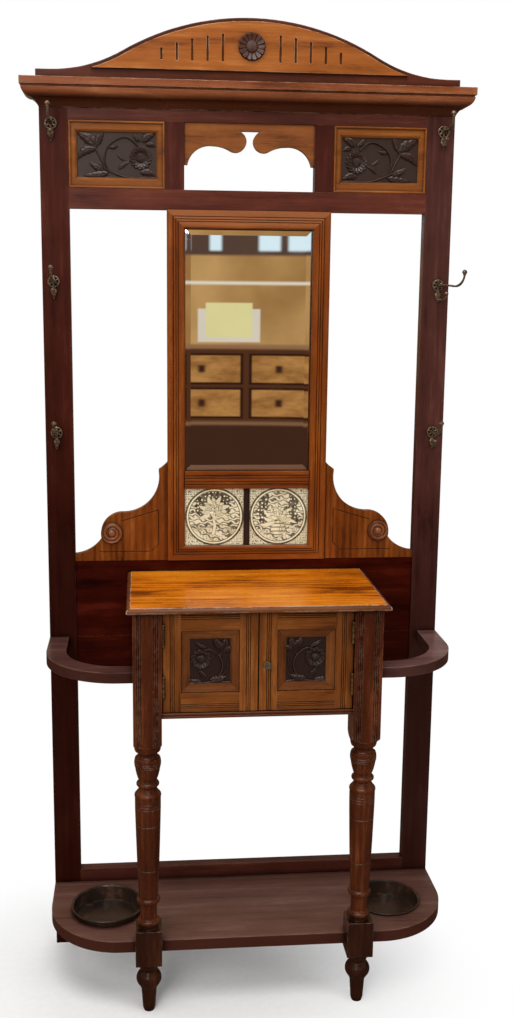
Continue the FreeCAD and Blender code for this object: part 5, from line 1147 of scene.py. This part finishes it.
# ------------------------------------------------------------
# Legs: square reeded posts beside the doors, run down into a turned vase, a square block at the shelf
# and a turned foot, each from one length of mahogany.
# ------------------------------------------------------------
LEG = (0.010, 0.0018, 0.0006, 1), (0.060, 0.0120, 0.0034, 1), (0.20, 0.054, 0.0150, 1)
# Pale edges on the rings are painted highlights with wear; below about 0.23 m the legs darken, painted shade
# on the feet.
clad(mahogany("leg_mahogany", *LEG, pith=(0.02, 0.16), rings=22, mottle=0.9, radius=0.0016, worn=0.8,
              wear_and_highlight_tone=(0.50, 0.30, 0.215, 1), nook=0.95, bright=0.14, dull=0.36, film=0.5,
              lip=(0.245, 0.215, (0.010, 0.0042, 0.0028, 1), 0.72)), "left_leg", "right_leg")

# ------------------------------------------------------------
# Shelf and umbrella rings: flat boards with quarter-round corners.  The edges are bruised and rubbed
# pale by sticks and feet.
# ------------------------------------------------------------
SHELF = (0.048, 0.0175, 0.0120, 1), (0.118, 0.051, 0.037, 1), (0.21, 0.112, 0.088, 1)
RUBBED = (0.34, 0.20, 0.13, 1)
low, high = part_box("shelf")
# The shelf's grey-pink tones are dust with a painted sheen; below its top face it darkens, painted shade on
# its edges.
clad(mahogany("shelf_mahogany", *SHELF, grain="across", pith=(-0.02, 0.2), rings=16, waver=9, mottle=0.7,
              ring_share=0.1, radius=0.003, worn=0.85, wear_and_highlight_tone=RUBBED, breaks=24, bright=0.3, dull=0.55,
              film=0.16, lip=(high.z - 0.0005, high.z - 0.003, (0.045, 0.0085, 0.0038, 1), 0.85)), "shelf")
low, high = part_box("left_umbrella_ring")
# Both rings darken below their top faces, painted shade; the right ring's paler, greyer tones are a painted
# sheen.
for word, tones in (
        ("left", ((0.025, 0.0080, 0.0058, 1), (0.083, 0.032, 0.026, 1), (0.17, 0.086, 0.074, 1))),
        ("right", ((0.046, 0.0190, 0.0170, 1), (0.150, 0.072, 0.066, 1), (0.29, 0.175, 0.165, 1)))):
    clad(mahogany(word + "_ring_mahogany", *tones, grain="across", pith=(-0.7, 0.2), mottle=0.8, radius=0.003,
                  worn=0.8, wear_and_highlight_tone=RUBBED, breaks=24, bright=0.25, dull=0.45,
                  lip=(high.z - 0.0005, high.z - 0.004, (0.040, 0.0100, 0.0060, 1), 0.8)),
         word + "_umbrella_ring")

# ------------------------------------------------------------
# Drip pans: spun iron dishes with a rolled rim, black-brown enamel, rusty inside and rubbed bare on
# the rim.
# ------------------------------------------------------------
material, tree, shader, place = finish("japanned_iron")
edge = placed(tree, edges, position=place, radius=0.002, breaks=120.0)
rust = eased(tree, cloudy(tree, place, 34, 5, 0.68), 0.50, 0.66)
enamel = blended(tree, eased(tree, cloudy(tree, place, 9, 3), 0.3, 0.7), (0.014, 0.0075, 0.0050, 1),
                 (0.034, 0.017, 0.011, 1))
colour = blended(tree, sums(tree, "MULTIPLY", rust, 0.6), enamel, (0.080, 0.034, 0.017, 1))
colour = blended(tree, sums(tree, "MULTIPLY", edge["Worn"], 0.6), colour, (0.21, 0.17, 0.14, 1))
pits = sums(tree, "MULTIPLY_ADD", rust, cloudy(tree, place, 700, 3), cloudy(tree, place, 40, 2))
wired(tree, shader.inputs, base_color=colour, roughness=eased(tree, rust, 0, 1, 0.3, 0.65),
      coat_weight=eased(tree, rust, 0, 1, 0.5, 0.1), metallic=eased(tree, edge["Worn"], 0, 1, 0.1, 0.7),
      normal=bumped(tree, pits, 0.0008, 0.4, edge["Normal"]))
clad(material, "left_drip_pan", "right_drip_pan")

# ------------------------------------------------------------
# Cupboard: a honey-coloured top with a dark moulded edge rubbed pale at its corners, the pale line
# also a painted highlight; sides, floor, a beaded rail under the doors and a stop strip behind them.
# ------------------------------------------------------------
low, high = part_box("cabinet_top")
clad(mahogany("top_mahogany", (0.150, 0.030, 0.0012, 1), (0.62, 0.160, 0.0045, 1),
              (0.84, 0.30, 0.018, 1), grain="across", pith=(-0.92, 0.06), rings=30, waver=14, mottle=1.35,
              ring_share=0.5, radius=0.0042, worn=1.0, wear_and_highlight_tone=(0.90, 0.78, 0.70, 1), breaks=24,
              bright=0.18, dull=0.36,
              lip=(high.z - 0.0004, high.z - 0.0008, (0.060, 0.022, 0.010, 1), 0.86)), "cabinet_top")
SIDE = (0.024, 0.0055, 0.0022, 1), (0.10, 0.026, 0.0080, 1), (0.20, 0.066, 0.020, 1)
clad(mahogany("side_mahogany", *SIDE, pith=(0.0, 0.4), rings=18, mottle=0.8), "cabinet_sides")
clad(mahogany("bead_rail_mahogany", *SIDE, grain="across", pith=(-0.7, 0.2), radius=0.0009, nook=0.9),
     "cabinet_bead_rail")
clad(pine("floor_pine", (0.11, 0.06, 0.03, 1), (0.28, 0.17, 0.09, 1), "across"), "cabinet_floor", "door_stop")

# ------------------------------------------------------------
# Doors: reeded stiles with rails tenoned between them, a sunk bevelled moulding and a carved panel,
# golden brown, the reeds darkened by painted shade with old polish.
# ------------------------------------------------------------
DOOR = (0.026, 0.0060, 0.0012, 1), (0.165, 0.046, 0.0075, 1), (0.40, 0.140, 0.030, 1)
DOOR_MOULDING = (0.024, 0.0060, 0.0020, 1), (0.125, 0.036, 0.0090, 1), (0.30, 0.108, 0.028, 1)
# Daisy at one side on a stem that climbs from the foot and bends over to it, with a pair of leaves in
# the far upper corner and single leaves at the foot.
door_design = (
    [([(0.62, 0.93), (0.74, 0.76), (0.78, 0.58), (0.70, 0.40), (0.52, 0.27), (0.36, 0.28)], (4.4, 2.8), 4.0),
     ([(0.70, 0.42), (0.76, 0.32), (0.78, 0.22)], (3.4, 2.6), 3.6),
     ([(0.66, 0.90), (0.86, 0.70), (0.90, 0.46)], (3.0, 2.0), 2.8),
     ([(0.02, 0.95), (0.34, 0.955), (0.62, 0.93), (0.98, 0.95)], (3.0, 3.4), 3.4)],
    [((0.78, 0.26), (0.60, 0.03), 9.0, 3, 4.6, 4), ((0.78, 0.28), (0.84, 0.02), 8.0, -2, 4.6, 3),
     ((0.80, 0.30), (0.985, 0.20), 7.0, -2, 4.2, 3), ((0.50, 0.90), (0.86, 0.82), 8.5, -4, 4.6, 5),
     ((0.30, 0.94), (0.04, 0.88), 6.0, 2, 3.6, 4), ((0.40, 0.84), (0.26, 0.68), 5.5, 2, 3.2, 3),
     ((0.40, 0.24), (0.16, 0.10), 5.0, 2, 3.4, 3)],
    ((0.29, 0.47), 24, 11, 5.0))
MOULDING_WIDTH = 0.021
door_stain_and_painted_light = stained("door_carving_stain", (0.0018, 0.0009, 0.0007, 1), (0.018, 0.0085, 0.0070, 1),
                     (0.060, 0.032, 0.026, 1))
for word, flip in (("left", False), ("right", True)):
    low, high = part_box(word + "_door_moulding")
    centre = ((low.x + high.x) / 2, 0, (low.z + high.z) / 2)
    light = ((high.x - low.x) / 2, 0, (high.z - low.z) / 2)
    clad(mahogany(word + "_door_mahogany", *DOOR, pith=(0.0, 0.22), rings=30, mottle=0.9, radius=0.0012,
                  worn=0.6, wear_and_highlight_tone=(0.50, 0.24, 0.10, 1), nook=1.0, light_of=(centre, light, 0.0)),
         word + "_door_frame")
    inner = (light[0] - MOULDING_WIDTH, 0, light[2] - MOULDING_WIDTH)
    clad(mahogany(word + "_door_moulding_mahogany", *DOOR_MOULDING, pith=(0.0, 0.2), rings=30, mottle=0.7,
                  radius=0.0009, worn=0.5, nook=0.85, bright=0.2, dull=0.4, film=0.18,
                  light_of=(centre, inner, 1.0)), word + "_door_moulding")
    panel = carved_panel(word + "_door_daisy", word + "_door_carving", door_design, flip, 6.8, word + "_door")
    panel.data.materials.append(door_stain_and_painted_light)

# ------------------------------------------------------------
# Hinges, lock and key: brass butts with ball finials, a lock screwed behind the right door's meeting
# stile, a round escutcheon and a small key with a flat bow.
# ------------------------------------------------------------
clad(brass("hinge_brass", (0.050, 0.022, 0.008, 1), (0.52, 0.27, 0.085, 1), 0.55), "left_door_hinge_leaves",
     "right_door_hinge_leaves", "post_hinge_leaves", "hinge_pins")
clad(brass("lock_brass", (0.09, 0.060, 0.030, 1), (0.55, 0.40, 0.20, 1), 0.45), "lock_case", "lock_bolt",
     "key_escutcheon")
clad(brass("key_steel", (0.06, 0.045, 0.035, 1), (0.42, 0.36, 0.29, 1), 0.45), "door_key")
